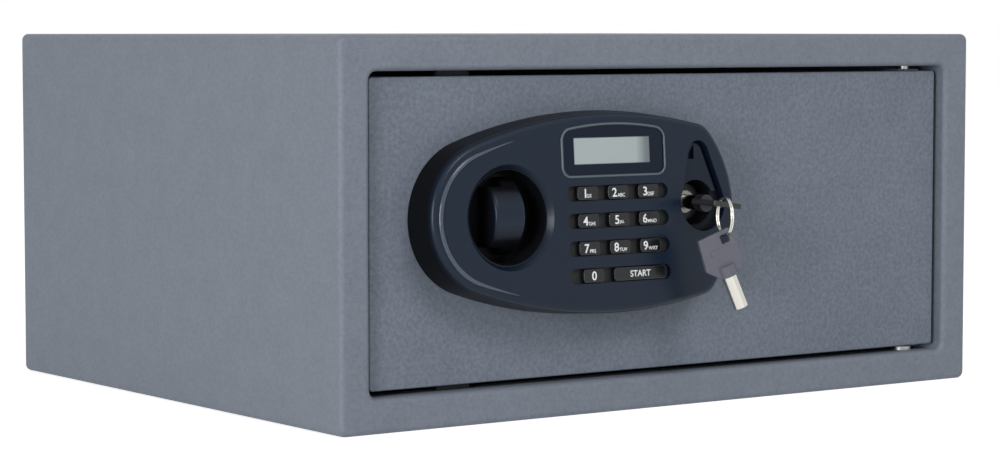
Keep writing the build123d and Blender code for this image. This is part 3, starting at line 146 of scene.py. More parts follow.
# -------------------- finishes
@dataclass(frozen=True)
class Finish:
    """A finish: a base colour with its mottle, a fine grain in the surface and an uneven gloss.

    Attributes:
        color: The main colour, as sRGB hex.
        shade: The colour that the mottle, the specks and the flecks mix in.
        roughness_spread: How far the roughness goes either way with the grain.
        mottle: Share of the shade that broad patches of mottle_mm bring.
        speck: Share of the shade that the grain brings.
        fleck: Share of the shade that patches of fleck_mm add or take away.
        stretch: How much closer together the grain lies along X, Y and Z.
    """

    name: str
    color: str
    shade: str
    roughness: float
    roughness_spread: float = 0.06
    metallic: float = 0.0
    grain_mm: float = 0.6
    grain_depth_mm: float = 0.02
    mottle_mm: float = 30.0
    mottle: float = 0.25
    speck: float = 0.0
    fleck: float = 0.0
    fleck_mm: float = 2.2
    stretch: tuple[float, float, float] = (1.0, 1.0, 1.0)
    coat: float = 0.0
    ior: float = 1.5
    bump_strength: float = 0.5

    def base_color(self, tree: bpy.types.NodeTree, place: bpy.types.NodeSocket,
                   grain: bpy.types.NodeSocket) -> bpy.types.NodeSocket:
        """Mix the colour with its shade.

        The share of the shade is mottle * broad noise + speck * grain, and a fleck adds coarse noise that
        goes from -fleck to fleck.

        Args:
            tree: The material's nodes.
            place: Object coordinates.
            grain: The grain's height.

        Returns:
            The colour's socket.
        """
        broad = add_node(tree, "ShaderNodeTexNoise", {"Vector": place, "Scale": per_metre(self.mottle_mm),
                                                      "Detail": 3.0})
        amount = add_node(tree, "ShaderNodeMath", {0: broad.outputs["Fac"], 1: self.mottle},
                          operation="MULTIPLY")
        specks = add_node(tree, "ShaderNodeMath", {0: grain, 1: self.speck, 2: amount.outputs[0]},
                          operation="MULTIPLY_ADD", use_clamp=True)
        amount = specks.outputs[0]
        if self.fleck:
            coarse = add_node(tree, "ShaderNodeTexNoise", {
                "Vector": place, "Scale": per_metre(self.fleck_mm), "Detail": 1.0})
            spread = add_node(tree, "ShaderNodeMapRange", {
                "Value": coarse.outputs["Fac"], "From Min": NOISE_LOW, "From Max": NOISE_HIGH,
                "To Min": -self.fleck, "To Max": self.fleck})
            amount = add_node(tree, "ShaderNodeMath", {0: amount, 1: spread.outputs[0]}, operation="ADD",
                              use_clamp=True).outputs[0]
        mixed = add_node(tree, "ShaderNodeMix", {"Factor": amount, "A": linear(self.color),
                                                 "B": linear(self.shade)}, data_type="RGBA")
        return mixed.outputs["Result"]

    def build(self) -> bpy.types.Material:
        """Make the material: mottled colour, uneven roughness and a grain in the bump.

        Returns:
            The material, ready for a slot.
        """
        material = bpy.data.materials.new(self.name)
        material.use_nodes = True
        tree = material.node_tree
        shader = tree.nodes["Principled BSDF"]
        place = add_node(tree, "ShaderNodeTexCoord").outputs["Object"]
        turned = add_node(tree, "ShaderNodeMapping", {"Vector": place, "Scale": self.stretch})
        grain = add_node(tree, "ShaderNodeTexNoise", {"Vector": turned.outputs[0], "Detail": 2.0,
                                                      "Scale": per_metre(self.grain_mm)})
        gloss = add_node(tree, "ShaderNodeMapRange", {
            "Value": grain.outputs["Fac"], "To Min": self.roughness - self.roughness_spread,
            "To Max": self.roughness + self.roughness_spread})
        bump = add_node(tree, "ShaderNodeBump", {
            "Height": grain.outputs["Fac"], "Strength": self.bump_strength,
            "Distance": self.grain_depth_mm * MM})
        shader.inputs["Metallic"].default_value = self.metallic
        shader.inputs["Coat Weight"].default_value = self.coat
        if not self.metallic:
            shader.inputs["IOR"].default_value = self.ior
        color = self.base_color(tree, place, grain.outputs["Fac"])
        tree.links.new(color, shader.inputs["Base Color"])
        tree.links.new(gloss.outputs[0], shader.inputs["Roughness"])
        tree.links.new(bump.outputs[0], shader.inputs["Normal"])
        return material


@dataclass(frozen=True)
class PrintedWindow(Finish):
    """Clear acrylic, back-printed dark but for a rectangle, through which the display shows.

    Attributes:
        screen_low: The rectangle's lower edge, above the knob's middle.
        screen_high: Its upper edge, above the knob's middle.
        shaded_from: Where the painted shadow on the display starts, before the rectangle's right edge.
        shaded_to: Where it is darkest.
        shaded_most: Share of the shade colour there.
    """

    screen_color: str = "B4BEBF"
    screen_left: float = -79.3
    screen_right: float = -29.8
    screen_low: float = 26.0
    screen_high: float = 39.5
    shaded_from: float = 9.0
    shaded_to: float = 2.25
    shaded_most: float = 0.75
    soft_edge: float = 0.25
    face: PanelFace = PanelFace()

    def inside(self, tree: bpy.types.NodeTree, value: bpy.types.NodeSocket, low: float,
               high: float) -> bpy.types.NodeSocket:
        """Mark where a value lies between two limits, with a soft edge at each.

        Args:
            tree: The material's nodes.
            value: A coordinate in metres.
            low: The lower limit in millimetres.
            high: The upper limit in millimetres.

        Returns:
            A socket that is 1 between the limits and 0 outside them.
        """
        rise, fall = [add_node(tree, "ShaderNodeMapRange", {
            "Value": value, "From Min": (limit - sign * self.soft_edge) * MM,
            "From Max": (limit + sign * self.soft_edge) * MM}) for limit, sign in ((low, 1), (high, -1))]
        both = add_node(tree, "ShaderNodeMath", {0: rise.outputs[0], 1: fall.outputs[0]},
                        operation="MULTIPLY")
        return both.outputs[0]

    def base_color(self, tree: bpy.types.NodeTree, place: bpy.types.NodeSocket,
                   grain: bpy.types.NodeSocket) -> bpy.types.NodeSocket:
        """Show the display inside the clear rectangle, its right end dimmed by painted shadow, and print
        outside it.

        Args:
            tree: The material's nodes.
            place: Object coordinates.
            grain: The grain's height, not used by a printed face.

        Returns:
            The colour's socket.
        """
        split = add_node(tree, "ShaderNodeSeparateXYZ", {0: place})
        across = self.inside(tree, split.outputs["X"], self.screen_left, self.screen_right)
        upright = self.inside(tree, split.outputs["Z"], self.face.knob_z + self.screen_low,
                              self.face.knob_z + self.screen_high)
        clear = add_node(tree, "ShaderNodeMath", {0: across, 1: upright}, operation="MULTIPLY")
        # painted shadow: the display darkens towards the shade colour along the rectangle's right end
        strip = add_node(tree, "ShaderNodeMapRange", {
            "Value": split.outputs["X"], "From Min": (self.screen_right - self.shaded_from) * MM,
            "From Max": (self.screen_right - self.shaded_to) * MM, "To Max": self.shaded_most})
        glass = add_node(tree, "ShaderNodeMix", {"Factor": strip.outputs[0], "A": linear(self.screen_color),
                                                 "B": linear(self.shade)}, data_type="RGBA")
        face = add_node(tree, "ShaderNodeMix", {"Factor": clear.outputs[0], "A": linear(self.color),
                                                "B": glass.outputs["Result"]}, data_type="RGBA")
        return face.outputs["Result"]


@dataclass(frozen=True)
class MouldedPanel(Finish):
    """Moulded ABS whose polished face is lighter than the draft walls and pockets below it, which carry
    painted shade.

    Attributes:
        depth_start: Depth below the face at which the painted shade starts.
        depth_end: Depth from which the painted shade is the only colour.
    """

    # painted shade: the colour mixed in on the walls and pockets below the face, where shade falls
    wall_color: str = "121317"
    depth_start: float = 0.9
    depth_end: float = 5.0
    face_gloss: float = 0.5
    wall_gloss: float = 0.1
    face: PanelFace = PanelFace()

    def depth(self, tree: bpy.types.NodeTree, place: bpy.types.NodeSocket) -> bpy.types.NodeSocket:
        """Return a socket that goes from 0 on the tilted face to 1 on the walls below it.

        The depth is (p - face point) . inward normal, with p in object coordinates.

        Args:
            tree: The material's nodes.
            place: Object coordinates.

        Returns:
            The share's socket.
        """
        lean = radians(self.face.tilt)
        inward = (0.0, cos(lean), -sin(lean))
        on_face = self.face.y_at_knob * inward[1] + self.face.knob_z * inward[2]
        along = add_node(tree, "ShaderNodeVectorMath", {0: place, 1: inward}, operation="DOT_PRODUCT")
        deep = add_node(tree, "ShaderNodeMapRange", {
            "Value": along.outputs["Value"], "From Min": (on_face + self.depth_start) * MM,
            "From Max": (on_face + self.depth_end) * MM})
        return deep.outputs[0]

    def base_color(self, tree: bpy.types.NodeTree, place: bpy.types.NodeSocket,
                   grain: bpy.types.NodeSocket) -> bpy.types.NodeSocket:
        """Mix towards the painted shade's colour by the depth below the tilted face.

        Args:
            tree: The material's nodes.
            place: Object coordinates.
            grain: The grain's height.

        Returns:
            The colour's socket.
        """
        face = super().base_color(tree, place, grain)
        mixed = add_node(tree, "ShaderNodeMix", {"Factor": self.depth(tree, place), "A": face,
                                                 "B": linear(self.wall_color)}, data_type="RGBA")
        return mixed.outputs["Result"]

    def build(self) -> bpy.types.Material:
        """Make the material, with less gloss on its textured walls than on the face.

        Returns:
            The material, ready for a slot.
        """
        material = super().build()
        tree = material.node_tree
        place = add_node(tree, "ShaderNodeTexCoord").outputs["Object"]
        level = add_node(tree, "ShaderNodeMapRange", {"Value": self.depth(tree, place),
                                                      "To Min": self.face_gloss, "To Max": self.wall_gloss})
        tree.links.new(level.outputs[0], tree.nodes["Principled BSDF"].inputs["Specular IOR Level"])
        return material


class Coating(Enum):
    """The finishes of the box, named for the material and how its surface was made."""

    # Steel sheet, sprayed with powder and baked: a dense fine texture with darker specks.
    # Its real texture is about 0.3 mm and is drawn at 0.9 mm so that it shows.
    GREY_POWDER_COAT = Finish("grey_baked_powder_coat", "868E9A", "4E5663", 0.58, grain_mm=0.9,
                              grain_depth_mm=0.09, mottle_mm=18.0, mottle=0.22, speck=0.42, fleck=0.08)
    # The same powder in black, on the inner cover.
    BLACK_POWDER_COAT = Finish("black_baked_powder_coat", "2A2C2F", "1A1B1D", 0.6, grain_mm=0.9,
                               grain_depth_mm=0.05, speck=0.3)
    # Needled polyester fibre: dull, with short lighter hairs about 1.5 mm long.
    CARPET = Finish("needled_felt", "2E3034", "55585E", 0.95, grain_mm=1.5, grain_depth_mm=0.5,
                    mottle=0.2, speck=0.5)
    # Zinc-plated steel, passivated: a soft grey with a cloudy gloss.
    ZINC_STEEL = Finish("zinc_plated_steel", "B4B6B4", "9A9C98", 0.36, metallic=1.0, grain_mm=3.0,
                        grain_depth_mm=0.004, roughness_spread=0.1)
    # Steel bar, turned on a lathe along X: fine rings round the bar.
    BRIGHT_STEEL = Finish("turned_steel", "C4C6C8", "A9ABAD", 0.22, metallic=1.0, grain_mm=2.0,
                          grain_depth_mm=0.004, stretch=(8.0, 0.5, 0.5))
    # Brass bar, turned: warm, with a fine tool mark.
    BRASS = Finish("turned_brass", "B79A5A", "98793E", 0.3, metallic=1.0, grain_mm=1.0,
                   grain_depth_mm=0.004)
    # Enamelled copper wire, wound side by side along X at about 0.4 mm.
    COPPER_COIL = Finish("wound_enamelled_copper", "8C4A2C", "5E2E1A", 0.3, metallic=1.0, grain_mm=3.0,
                         grain_depth_mm=0.1, stretch=(8.0, 0.2, 0.2))
    # Glass-epoxy board under green solder mask: smooth, with the weave just showing.
    CIRCUIT_BOARD = Finish("solder_masked_board", "2F5B3C", "234A30", 0.4, grain_mm=0.8,
                           grain_depth_mm=0.01)
    # ABS moulded in a spark-eroded tool: black and evenly matt.
    BLACK_ABS = Finish("spark_textured_abs", "1C1D1F", "141516", 0.55, grain_mm=0.5, grain_depth_mm=0.02)
    # Printed shrink sleeve on the cells: smooth and glossy.
    BATTERY_WRAP = Finish("shrink_sleeve", "3A3D42", "2C2F33", 0.25, grain_mm=4.0, grain_depth_mm=0.01)
    # Nickel on steel or brass: a warm bright metal with slight handling marks.
    NICKEL = Finish("nickel_plate", "D6D4CC", "B0AEA6", 0.16, metallic=1.0, grain_mm=2.0,
                    grain_depth_mm=0.006)
    # Chrome on a polished cylinder: mirror bright.
    CHROME = Finish("polished_chrome", "E0E2E4", "C4C6C8", 0.08, metallic=1.0, grain_mm=4.0,
                    grain_depth_mm=0.002, roughness_spread=0.03)
    # ABS moulded in a polished tool, blue-black: a satin gloss with a very fine texture, and painted shade
    # below the face.
    SLATE_ABS = MouldedPanel("satin_moulded_abs", "0F2032", "091624", 0.3, grain_mm=0.7,
                             grain_depth_mm=0.012, mottle_mm=14.0, ior=1.32)
    # Silicone rubber, moulded: dull black.
    BLACK_RUBBER = Finish("moulded_silicone", "121314", "0C0D0E", 0.7, grain_mm=1.0)
    # Tinted acrylic, back-printed: glossy and almost free of texture; its shade colour is the painted
    # shadow on the display's right end.
    DARK_LENS = PrintedWindow("back_printed_acrylic", "0A182B", "5D6970", 0.12, ior=1.26, grain_mm=5.0,
                              grain_depth_mm=0.001, roughness_spread=0.02)
    # Liquid-crystal glass under its polariser: flat grey-green.
    DISPLAY_GLASS = Finish("display_glass", "AAB2B2", "9FA8A8", 0.2, grain_mm=5.0, grain_depth_mm=0.001)
    # Extruded PVC on the leads: black with a slight sheen.
    BLACK_PVC = Finish("extruded_pvc", "18191A", "101112", 0.45, grain_mm=1.0)
    # Die-cast zinc, painted grey: smooth with a soft sheen.
    KEY_HEAD_METAL = Finish("painted_die_cast_zinc", "686974", "4F505A", 0.46, grain_mm=0.8,
                            grain_depth_mm=0.03, mottle_mm=6.0, speck=0.25)
    # Red ABS: glossy.
    RED_PLASTIC = Finish("moulded_red_abs", "9B2A25", "7E1F1B", 0.3, grain_mm=1.0)
    # Hard keycap plastic, polished by use: dark and glossy on top.
    KEYCAP_PLASTIC = Finish("polished_keycap_abs", "0C1015", "080A0D", 0.2, grain_mm=0.8, coat=0.15,
                            ior=1.4)

    @property
    def slot(self) -> str:
        """The record's material slot of this finish."""
        return self.name.lower()


# White ink, printed on the key caps: opaque and slightly matt.
WHITE_INK = Finish("printed_white_ink", "F6F8F9", "ECEEF0", 0.5, grain_mm=0.4, grain_depth_mm=0.004)
# Satin edge of the window frame, coloured lighter than the face as a painted highlight where the moulding
# stands proud.
RIM_SATIN_PAINTED_HIGHLIGHT = Finish("satin_rim_abs_painted_highlight", "55616C", "434D57", 0.3, grain_mm=0.7, grain_depth_mm=0.01)
# Crown of the panel's stepped line: glossier than the face and lighter as a painted highlight, so that it
# draws a bright line.
STEP_SATIN_PAINTED_HIGHLIGHT = Finish("satin_step_abs_painted_highlight", "243850", "1A2A3E", 0.22, coat=0.6, grain_mm=0.7,
                    grain_depth_mm=0.008)
# The door is sprayed in a batch of its own, a little darker than the box.
DOOR_COAT = Finish("door_baked_powder_coat", "7E8794", "485160", 0.58, grain_mm=0.9, grain_depth_mm=0.06,
                   mottle_mm=26.0, mottle=0.3, speck=0.42, fleck=0.16, stretch=(0.8, 1.0, 1.3))
# The stops sit in the dark gap behind the door and are coloured near black as painted shade for that gap.
STOP_PAINTED_SHADE = Finish("stop_painted_shade", "16181B", "0E1012", 0.8, grain_mm=0.9)
# Nickel of the lock cylinder, coloured dark as painted shade for the well round the keyhole; slightly
# cloudy.
NICKEL_PAINTED_SHADE = Finish("nickel_painted_shade", "2A2B2D", "151617", 0.32, metallic=1.0, grain_mm=3.0,
                      grain_depth_mm=0.03, roughness_spread=0.1)
# The head of the key in use, coloured near black as painted shade, for it lies edge-on in shadow.
KEY_HEAD_PAINTED_SHADE = Finish("key_head_painted_shade", "1E1F24", "141519", 0.38, grain_mm=0.8, grain_depth_mm=0.03,
                   mottle_mm=5.0)
# Nickel dulled by use, darkened in blotches as painted shade for its well, with fine scratches that break
# up what it mirrors.
WORN_NICKEL_PAINTED_SHADE = Finish("worn_nickel_painted_shade", "8F8D87", "4E4D4A", 0.3, metallic=1.0, grain_mm=1.4,
                     grain_depth_mm=0.12, mottle_mm=3.0, mottle=0.7, roughness_spread=0.12)
# Nodes whose finish isn't the usual one of their slot; the stops, the key head in use and the lock carry
# painted shade.
NODE_FINISHES = {"door_plate": DOOR_COAT, "door_stops": STOP_PAINTED_SHADE, "inserted_key_head": KEY_HEAD_PAINTED_SHADE,
                 "lock_core": WORN_NICKEL_PAINTED_SHADE, "lock_cylinder": NICKEL_PAINTED_SHADE}


# -------------------- meshes from arrays
def turn_outwards(piece: bpy.types.Object) -> None:
    """Flip a closed mesh whose signed volume is negative.

    The signed volume is a sixth of the sum of a . (b x c) over the triangles.

    Args:
        piece: The object.
    """
    mesh = piece.data
    mesh.calc_loop_triangles()
    corners = np.array([t.vertices[:] for t in mesh.loop_triangles])
    places = np.array([v.co[:] for v in mesh.vertices])
    a, b, c = places[corners[:, 0]], places[corners[:, 1]], places[corners[:, 2]]
    if np.einsum("ij,ij->", a, np.cross(b, c)) < 0:
        mesh.flip_normals()


def mesh_piece(name: str, points: np.ndarray, faces: list[list[int]],
               smooth: bool = True) -> bpy.types.Object:
    """Make an object from points in millimetres and faces, its faces turned outwards.

    Args:
        name: The piece's name.
        points: Array of shape (n, 3).
        faces: Corner numbers of each face.
        smooth: Whether its shading runs on from face to face.

    Returns:
        The object, at the origin.
    """
    mesh = bpy.data.meshes.new(name)
    mesh.from_pydata((points * MM).tolist(), [], faces)
    mesh.validate()
    if smooth:
        mesh.shade_smooth()
    made = bpy.data.objects.new(name, mesh)
    bpy.context.scene.collection.objects.link(made)
    turn_outwards(made)
    return made


def surface(name: str, points: np.ndarray, wrap_u: bool, wrap_v: bool,
            caps: bool = False) -> bpy.types.Object:
    """Make a mesh from a grid of points, with faces between neighbours.

    The face at (i, j) joins points (i, j), (i + 1, j), (i + 1, j + 1) and (i, j + 1), where the indices
    start again from 0 in a direction that wraps.

    Args:
        name: The piece's name.
        points: Array of shape (m, n, 3) in millimetres.
        wrap_u: Whether the first direction closes on itself.
        wrap_v: Whether the second direction closes on itself.
        caps: Whether the two ends of the first direction are closed by a flat face.

    Returns:
        The object, at the origin.
    """
    count_u, count_v = points.shape[:2]
    i, j = np.meshgrid(np.arange(count_u if wrap_u else count_u - 1),
                       np.arange(count_v if wrap_v else count_v - 1), indexing="ij")
    i, j = i.ravel(), j.ravel()
    next_i, next_j = (i + 1) % count_u, (j + 1) % count_v
    faces = np.stack([i * count_v + j, next_i * count_v + j, next_i * count_v + next_j,
                      i * count_v + next_j], 1).tolist()
    if caps:
        faces.append(list(range(count_v)))
        faces.append(list(range(count_u * count_v - 1, (count_u - 1) * count_v - 1, -1)))
    return mesh_piece(name, points.reshape(-1, 3), faces)


def tube(name: str, path: np.ndarray, wire: float, across: np.ndarray, sides: int) -> bpy.types.Object:
    """Carry a circle of the wire's radius along an open path.

    A point is path + wire * (cos(a) * n + sin(a) * b), where n is across made square to the tangent and
    b is the tangent crossed with n.

    Args:
        name: The piece's name.
        path: Array of shape (n, 3) in millimetres.
        wire: The wire's radius in millimetres.
        across: A direction that is never along the path.
        sides: Points round the circle.

    Returns:
        The object.
    """
    ahead = np.gradient(path, axis=0)
    tangent = ahead / np.linalg.norm(ahead, axis=1, keepdims=True)
    normal = across - tangent * np.sum(tangent * across, 1, keepdims=True)
    normal = normal / np.linalg.norm(normal, axis=1, keepdims=True)
    binormal = np.cross(tangent, normal)
    angle = np.linspace(0, 2 * pi, sides, endpoint=False)[None, :, None]
    points = path[:, None] + wire * (np.cos(angle) * normal[:, None] + np.sin(angle) * binormal[:, None])
    return surface(name, points, False, True, caps=True)


def coat(piece: bpy.types.Object, finish: Finish, materials: Materials) -> None:
    """Put a finish on a piece, making its material the first time that it is asked for.

    Args:
        piece: The object.
        finish: Its finish.
        materials: Materials already made, by name; a new one is added.
    """
    if finish.name not in materials:
        materials[finish.name] = finish.build()
    piece.data.materials.clear()
    piece.data.materials.append(materials[finish.name])


def dress(piece: bpy.types.Object, finish: Finish, materials: Materials, body: str) -> None:
    """Give a new piece its finish and the body that it moves with.

    Args:
        piece: The object.
        finish: Its finish.
        materials: Materials already made, by name.
        body: The body.
    """
    coat(piece, finish, materials)
    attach(piece, body)
    log.info("made %s on %s", piece.name, body)


# -------------------- panel on the door
@dataclass(frozen=True)
class PanelTrim:
    """The stepped line inside the panel's edge and the rim of its display window.

    Attributes:
        mid_v: Height of the outline's level line above the knob's middle.
        mid_x: Where the two long arcs are centred across.
        left_x: Where the left end's arc is centred.
        right_x: Where the right end's arc is centred.
        corner: Radius of the corner between a long arc and the right one.
        step_least: Share of its size that the stepped line keeps where it ends.
        window_arch: How far the middle of the window's top is lifted.
        seat: How deep a bead goes into the face.
    """

    face: PanelFace = PanelFace()
    mid_v: float = -0.4
    mid_x: float = -54.0
    half_height: float = 53.6
    long_radius: float = 276.0
    left_x: float = -130.0
    right_x: float = -37.0
    right_radius: float = 66.0
    corner: float = 14.0
    step_inset: float = 6.6
    step_width: float = 2.6
    step_rise: float = 1.1
    step_least: float = 0.08
    step_fades_from: float = -150.0
    step_fades_to: float = -116.0
    window_left: float = -87.2
    window_right: float = -19.8
    window_low: float = 19.6
    window_shoulder: float = 43.6
    window_arch: float = 3.2
    window_corner: float = 5.2
    rim_width: float = 1.3
    rim_rise: float = 0.75
    seat: float = 0.1
    arc_points: int = 72
    window_points: int = 360
    crown_points: int = 9

    def arc(self, centre: tuple[float, float], radius: float, start: float, end: float) -> np.ndarray:
        """Return points centre + radius * (cos(a), sin(a)) for a from start to end, without the last."""
        angle = np.linspace(start, end, self.arc_points, endpoint=False)
        return np.stack([centre[0] + radius * np.cos(angle), centre[1] + radius * np.sin(angle)], 1)

    def edge_line(self, inset: float) -> np.ndarray:
        """Return the panel's egg-shaped outline moved inwards.

        It is two long arcs, mirrored about the level line, a small arc at the left that touches both, one
        arc at the right, and a round corner that touches a long arc and the right arc from inside.

        Args:
            inset: How far inside the outline, in millimetres.

        Returns:
            Points (x, v) round the outline.
        """
        drop = self.long_radius - self.half_height
        left_radius = self.long_radius - hypot(self.left_x - self.mid_x, drop) - inset
        long_radius, right_radius, corner = (self.long_radius - inset, self.right_radius - inset,
                                             self.corner - inset)
        span = hypot(self.right_x - self.mid_x, drop)
        to_long, to_right = long_radius - corner, right_radius - corner
        along = (to_long ** 2 - to_right ** 2 + span ** 2) / (2 * span)
        across = (to_long ** 2 - along ** 2) ** 0.5
        ux, uv = (self.right_x - self.mid_x) / span, drop / span
        cx, cv = self.mid_x + along * ux + across * uv, -drop + along * uv - across * ux
        lean = atan2(drop, self.left_x - self.mid_x)
        at_long = atan2(cv + drop, cx - self.mid_x)
        at_right = atan2(cv, cx - self.right_x)
        upper = np.concatenate([
            self.arc((self.right_x, 0.0), right_radius, 0.0, at_right),
            self.arc((cx, cv), corner, at_right, at_long),
            self.arc((self.mid_x, -drop), long_radius, at_long, lean),
            self.arc((self.left_x, 0.0), left_radius, lean, pi)])
        lower = upper[:0:-1] * np.array([1.0, -1.0])
        return np.concatenate([upper, [[self.left_x - left_radius, 0.0]], lower]) + [0.0, self.mid_v]

    def window_line(self) -> np.ndarray:
        """Return the window's outline: a rectangle with round corners whose top is lifted into an arch.

        The lift is arch * (1 - (x / half width)^2), scaled by the height above the lower edge.

        Returns:
            Points (x, v) round the outline.
        """
        half_x = (self.window_right - self.window_left) / 2
        half_v = (self.window_shoulder - self.window_low) / 2
        c = self.window_corner
        corners = np.concatenate([self.arc((sx * (half_x - c), sv * (half_v - c)), c, start, start + pi / 2)
                                  for sx, sv, start in ((1, 1, 0), (-1, 1, pi / 2), (-1, -1, pi),
                                                        (1, -1, 1.5 * pi))])
        closed = np.concatenate([corners, corners[:1]])
        distance = np.concatenate([[0], np.cumsum(np.hypot(*np.diff(closed, axis=0).T))])
        # the straight runs need points of their own before the top can be bent
        even = np.linspace(0, distance[-1], self.window_points, endpoint=False)
        x, v = np.interp(even, distance, closed[:, 0]), np.interp(even, distance, closed[:, 1])
        lift = self.window_arch * (1 - (x / half_x) ** 2) * (v + half_v) / (2 * half_v)
        middle = [(self.window_left + self.window_right) / 2, (self.window_low + self.window_shoulder) / 2]
        return np.stack([x, v + lift], 1) + middle

    def bead(self, name: str, line: np.ndarray, width: np.ndarray | float, rise: np.ndarray | float,
             closed: bool) -> bpy.types.Object:
        """Carry a half-round profile along a line on the face.

        A point is line + width / 2 * cos(a) * inward, standing rise * sin(a) off the face; below the face
        the profile is flat, as deep as the seat, so that the bead is closed and seated.

        Args:
            name: The piece's name.
            line: Points (x, v).
            width: The bead's width, or one for each point.
            rise: Its height, or one for each point.
            closed: Whether the line ends where it starts.

        Returns:
            The object.
        """
        ahead = np.roll(line, -1, 0) - np.roll(line, 1, 0) if closed else np.gradient(line, axis=0)
        ahead = ahead / np.linalg.norm(ahead, axis=1, keepdims=True)
        inward = np.stack([-ahead[:, 1], ahead[:, 0]], 1)
        angle = np.linspace(0, pi, self.crown_points)
        across = np.concatenate([np.cos(angle), [-1.0, 1.0]])
        crown = np.concatenate([np.sin(angle), [0.0, 0.0]])
        below = np.repeat([0, self.seat], [self.crown_points, 2])
        offset = np.broadcast_to(width, len(line))[:, None] * across / 2
        height = np.broadcast_to(rise, len(line))[:, None] * crown - below
        x = line[:, 0, None] + inward[:, 0, None] * offset
        v = line[:, 1, None] + inward[:, 1, None] * offset
        return surface(name, self.face.place(x, v, height), closed, True, caps=not closed)

    def build(self, materials: Materials) -> None:
        """Make the stepped line round the panel's left end, and the window's rim.

        The line's width and rise keep a share that falls evenly in x, from 1 to step_least.

        Args:
            materials: Materials already made, by name.
        """
        line = self.edge_line(self.step_inset)
        line = line[line[:, 0] < self.step_fades_to]
        share = np.interp(line[:, 0], [self.step_fades_from, self.step_fades_to], [1.0, self.step_least])
        step = self.bead("panel_edge_step", line, self.step_width * share, self.step_rise * share, False)
        dress(step, STEP_SATIN_PAINTED_HIGHLIGHT, materials, "door")
        rim = self.bead("window_rim", self.window_line(), self.rim_width, self.rim_rise, True)
        dress(rim, RIM_SATIN_PAINTED_HIGHLIGHT, materials, "door")


# -------------------- printed legends
@dataclass(frozen=True)
class Legend:
    """The white print on one key cap: a digit or a word, with small letters beside a digit.

    Attributes:
        gap: Space between the digit and its letters.
        ink: Thickness of the ink.
        key_proud: How far the cap's top stands off the panel's face.
        weight: How far the type's outline is thickened, as a share of its size.
    """

    node: str
    text: str
    letters: str = ""
    text_height: float = 4.7
    letter_height: float = 1.9
    gap: float = 0.3
    ink: float = 0.04
    key_proud: float = 0.9
    weight: float = 0.018
    face: PanelFace = PanelFace()

    def outline(self, text: str, height: float) -> tuple[np.ndarray, list[list[int]]]:
        """Return the flat letters as points in millimetres and faces, with the capital height given.

        Args:
            text: What is printed.
            height: Height of the print.

        Returns:
            Points (n, 3), with z the thickness of the ink, and the faces.
        """
        curve = bpy.data.curves.new("legend_outline", "FONT")
        curve.body = text
        # any thickness serves, as the points are brought to the ink's own below
        curve.extrude = 0.5
        curve.offset = self.weight
        holder = bpy.data.objects.new("legend_outline", curve)
        mesh = bpy.data.meshes.new_from_object(holder)
        points = np.array([v.co[:] for v in mesh.vertices])
        faces = [list(p.vertices) for p in mesh.polygons]
        bpy.data.objects.remove(holder)
        bpy.data.curves.remove(curve)
        bpy.data.meshes.remove(mesh)
        low, high = points.min(0), points.max(0)
        scale = height / (high[1] - low[1])
        points = (points - low) * [scale, scale, self.ink / (high[2] - low[2])]
        return points, faces

    def build(self, materials: Materials) -> None:
        """Print the digit and its letters in one piece, centred on the cap and resting on its top.

        The cap's middle lies (z - knob z) / cos(tilt) up the face.

        Args:
            materials: Materials already made, by name.
        """
        lowest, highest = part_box(self.node)
        middle_x = (lowest[0] + highest[0]) / 2 / MM
        middle_v = ((lowest[2] + highest[2]) / 2 / MM - self.face.knob_z) / cos(radians(self.face.tilt))
        points, faces = self.outline(self.text, self.text_height)
        if self.letters:
            small, small_faces = self.outline(self.letters, self.letter_height)
            small = small + [points[:, 0].max() + self.gap, 0, 0]
            faces = faces + [[k + len(points) for k in f] for f in small_faces]
            points = np.concatenate([points, small])
        points[:, 0] += middle_x - (points[:, 0].min() + points[:, 0].max()) / 2
        points[:, 1] += middle_v - (points[:, 1].min() + points[:, 1].max()) / 2
        placed = self.face.place(points[:, 0], points[:, 1], points[:, 2] + self.key_proud)
        piece = mesh_piece(f"print_{self.node}", placed, faces, smooth=False)
        dress(piece, WHITE_INK, materials, f"{self.node}_body")


@dataclass(frozen=True)
class Keypad:
    """The printed keys."""

    letters: tuple[str, ...] = ("QZ", "ABC", "DEF", "GHI", "JKL", "MNO", "PRS", "TUV", "WXY")
    word_height: float = 3.4

    def build(self, materials: Materials) -> None:
        """Print every key.

        Args:
            materials: Materials already made, by name.
        """
        for digit, letters in enumerate(self.letters, 1):
            Legend(f"keypad_{digit}", str(digit), letters).build(materials)
        Legend("keypad_0", "0").build(materials)
        Legend("keypad_start", "START", text_height=self.word_height).build(materials)


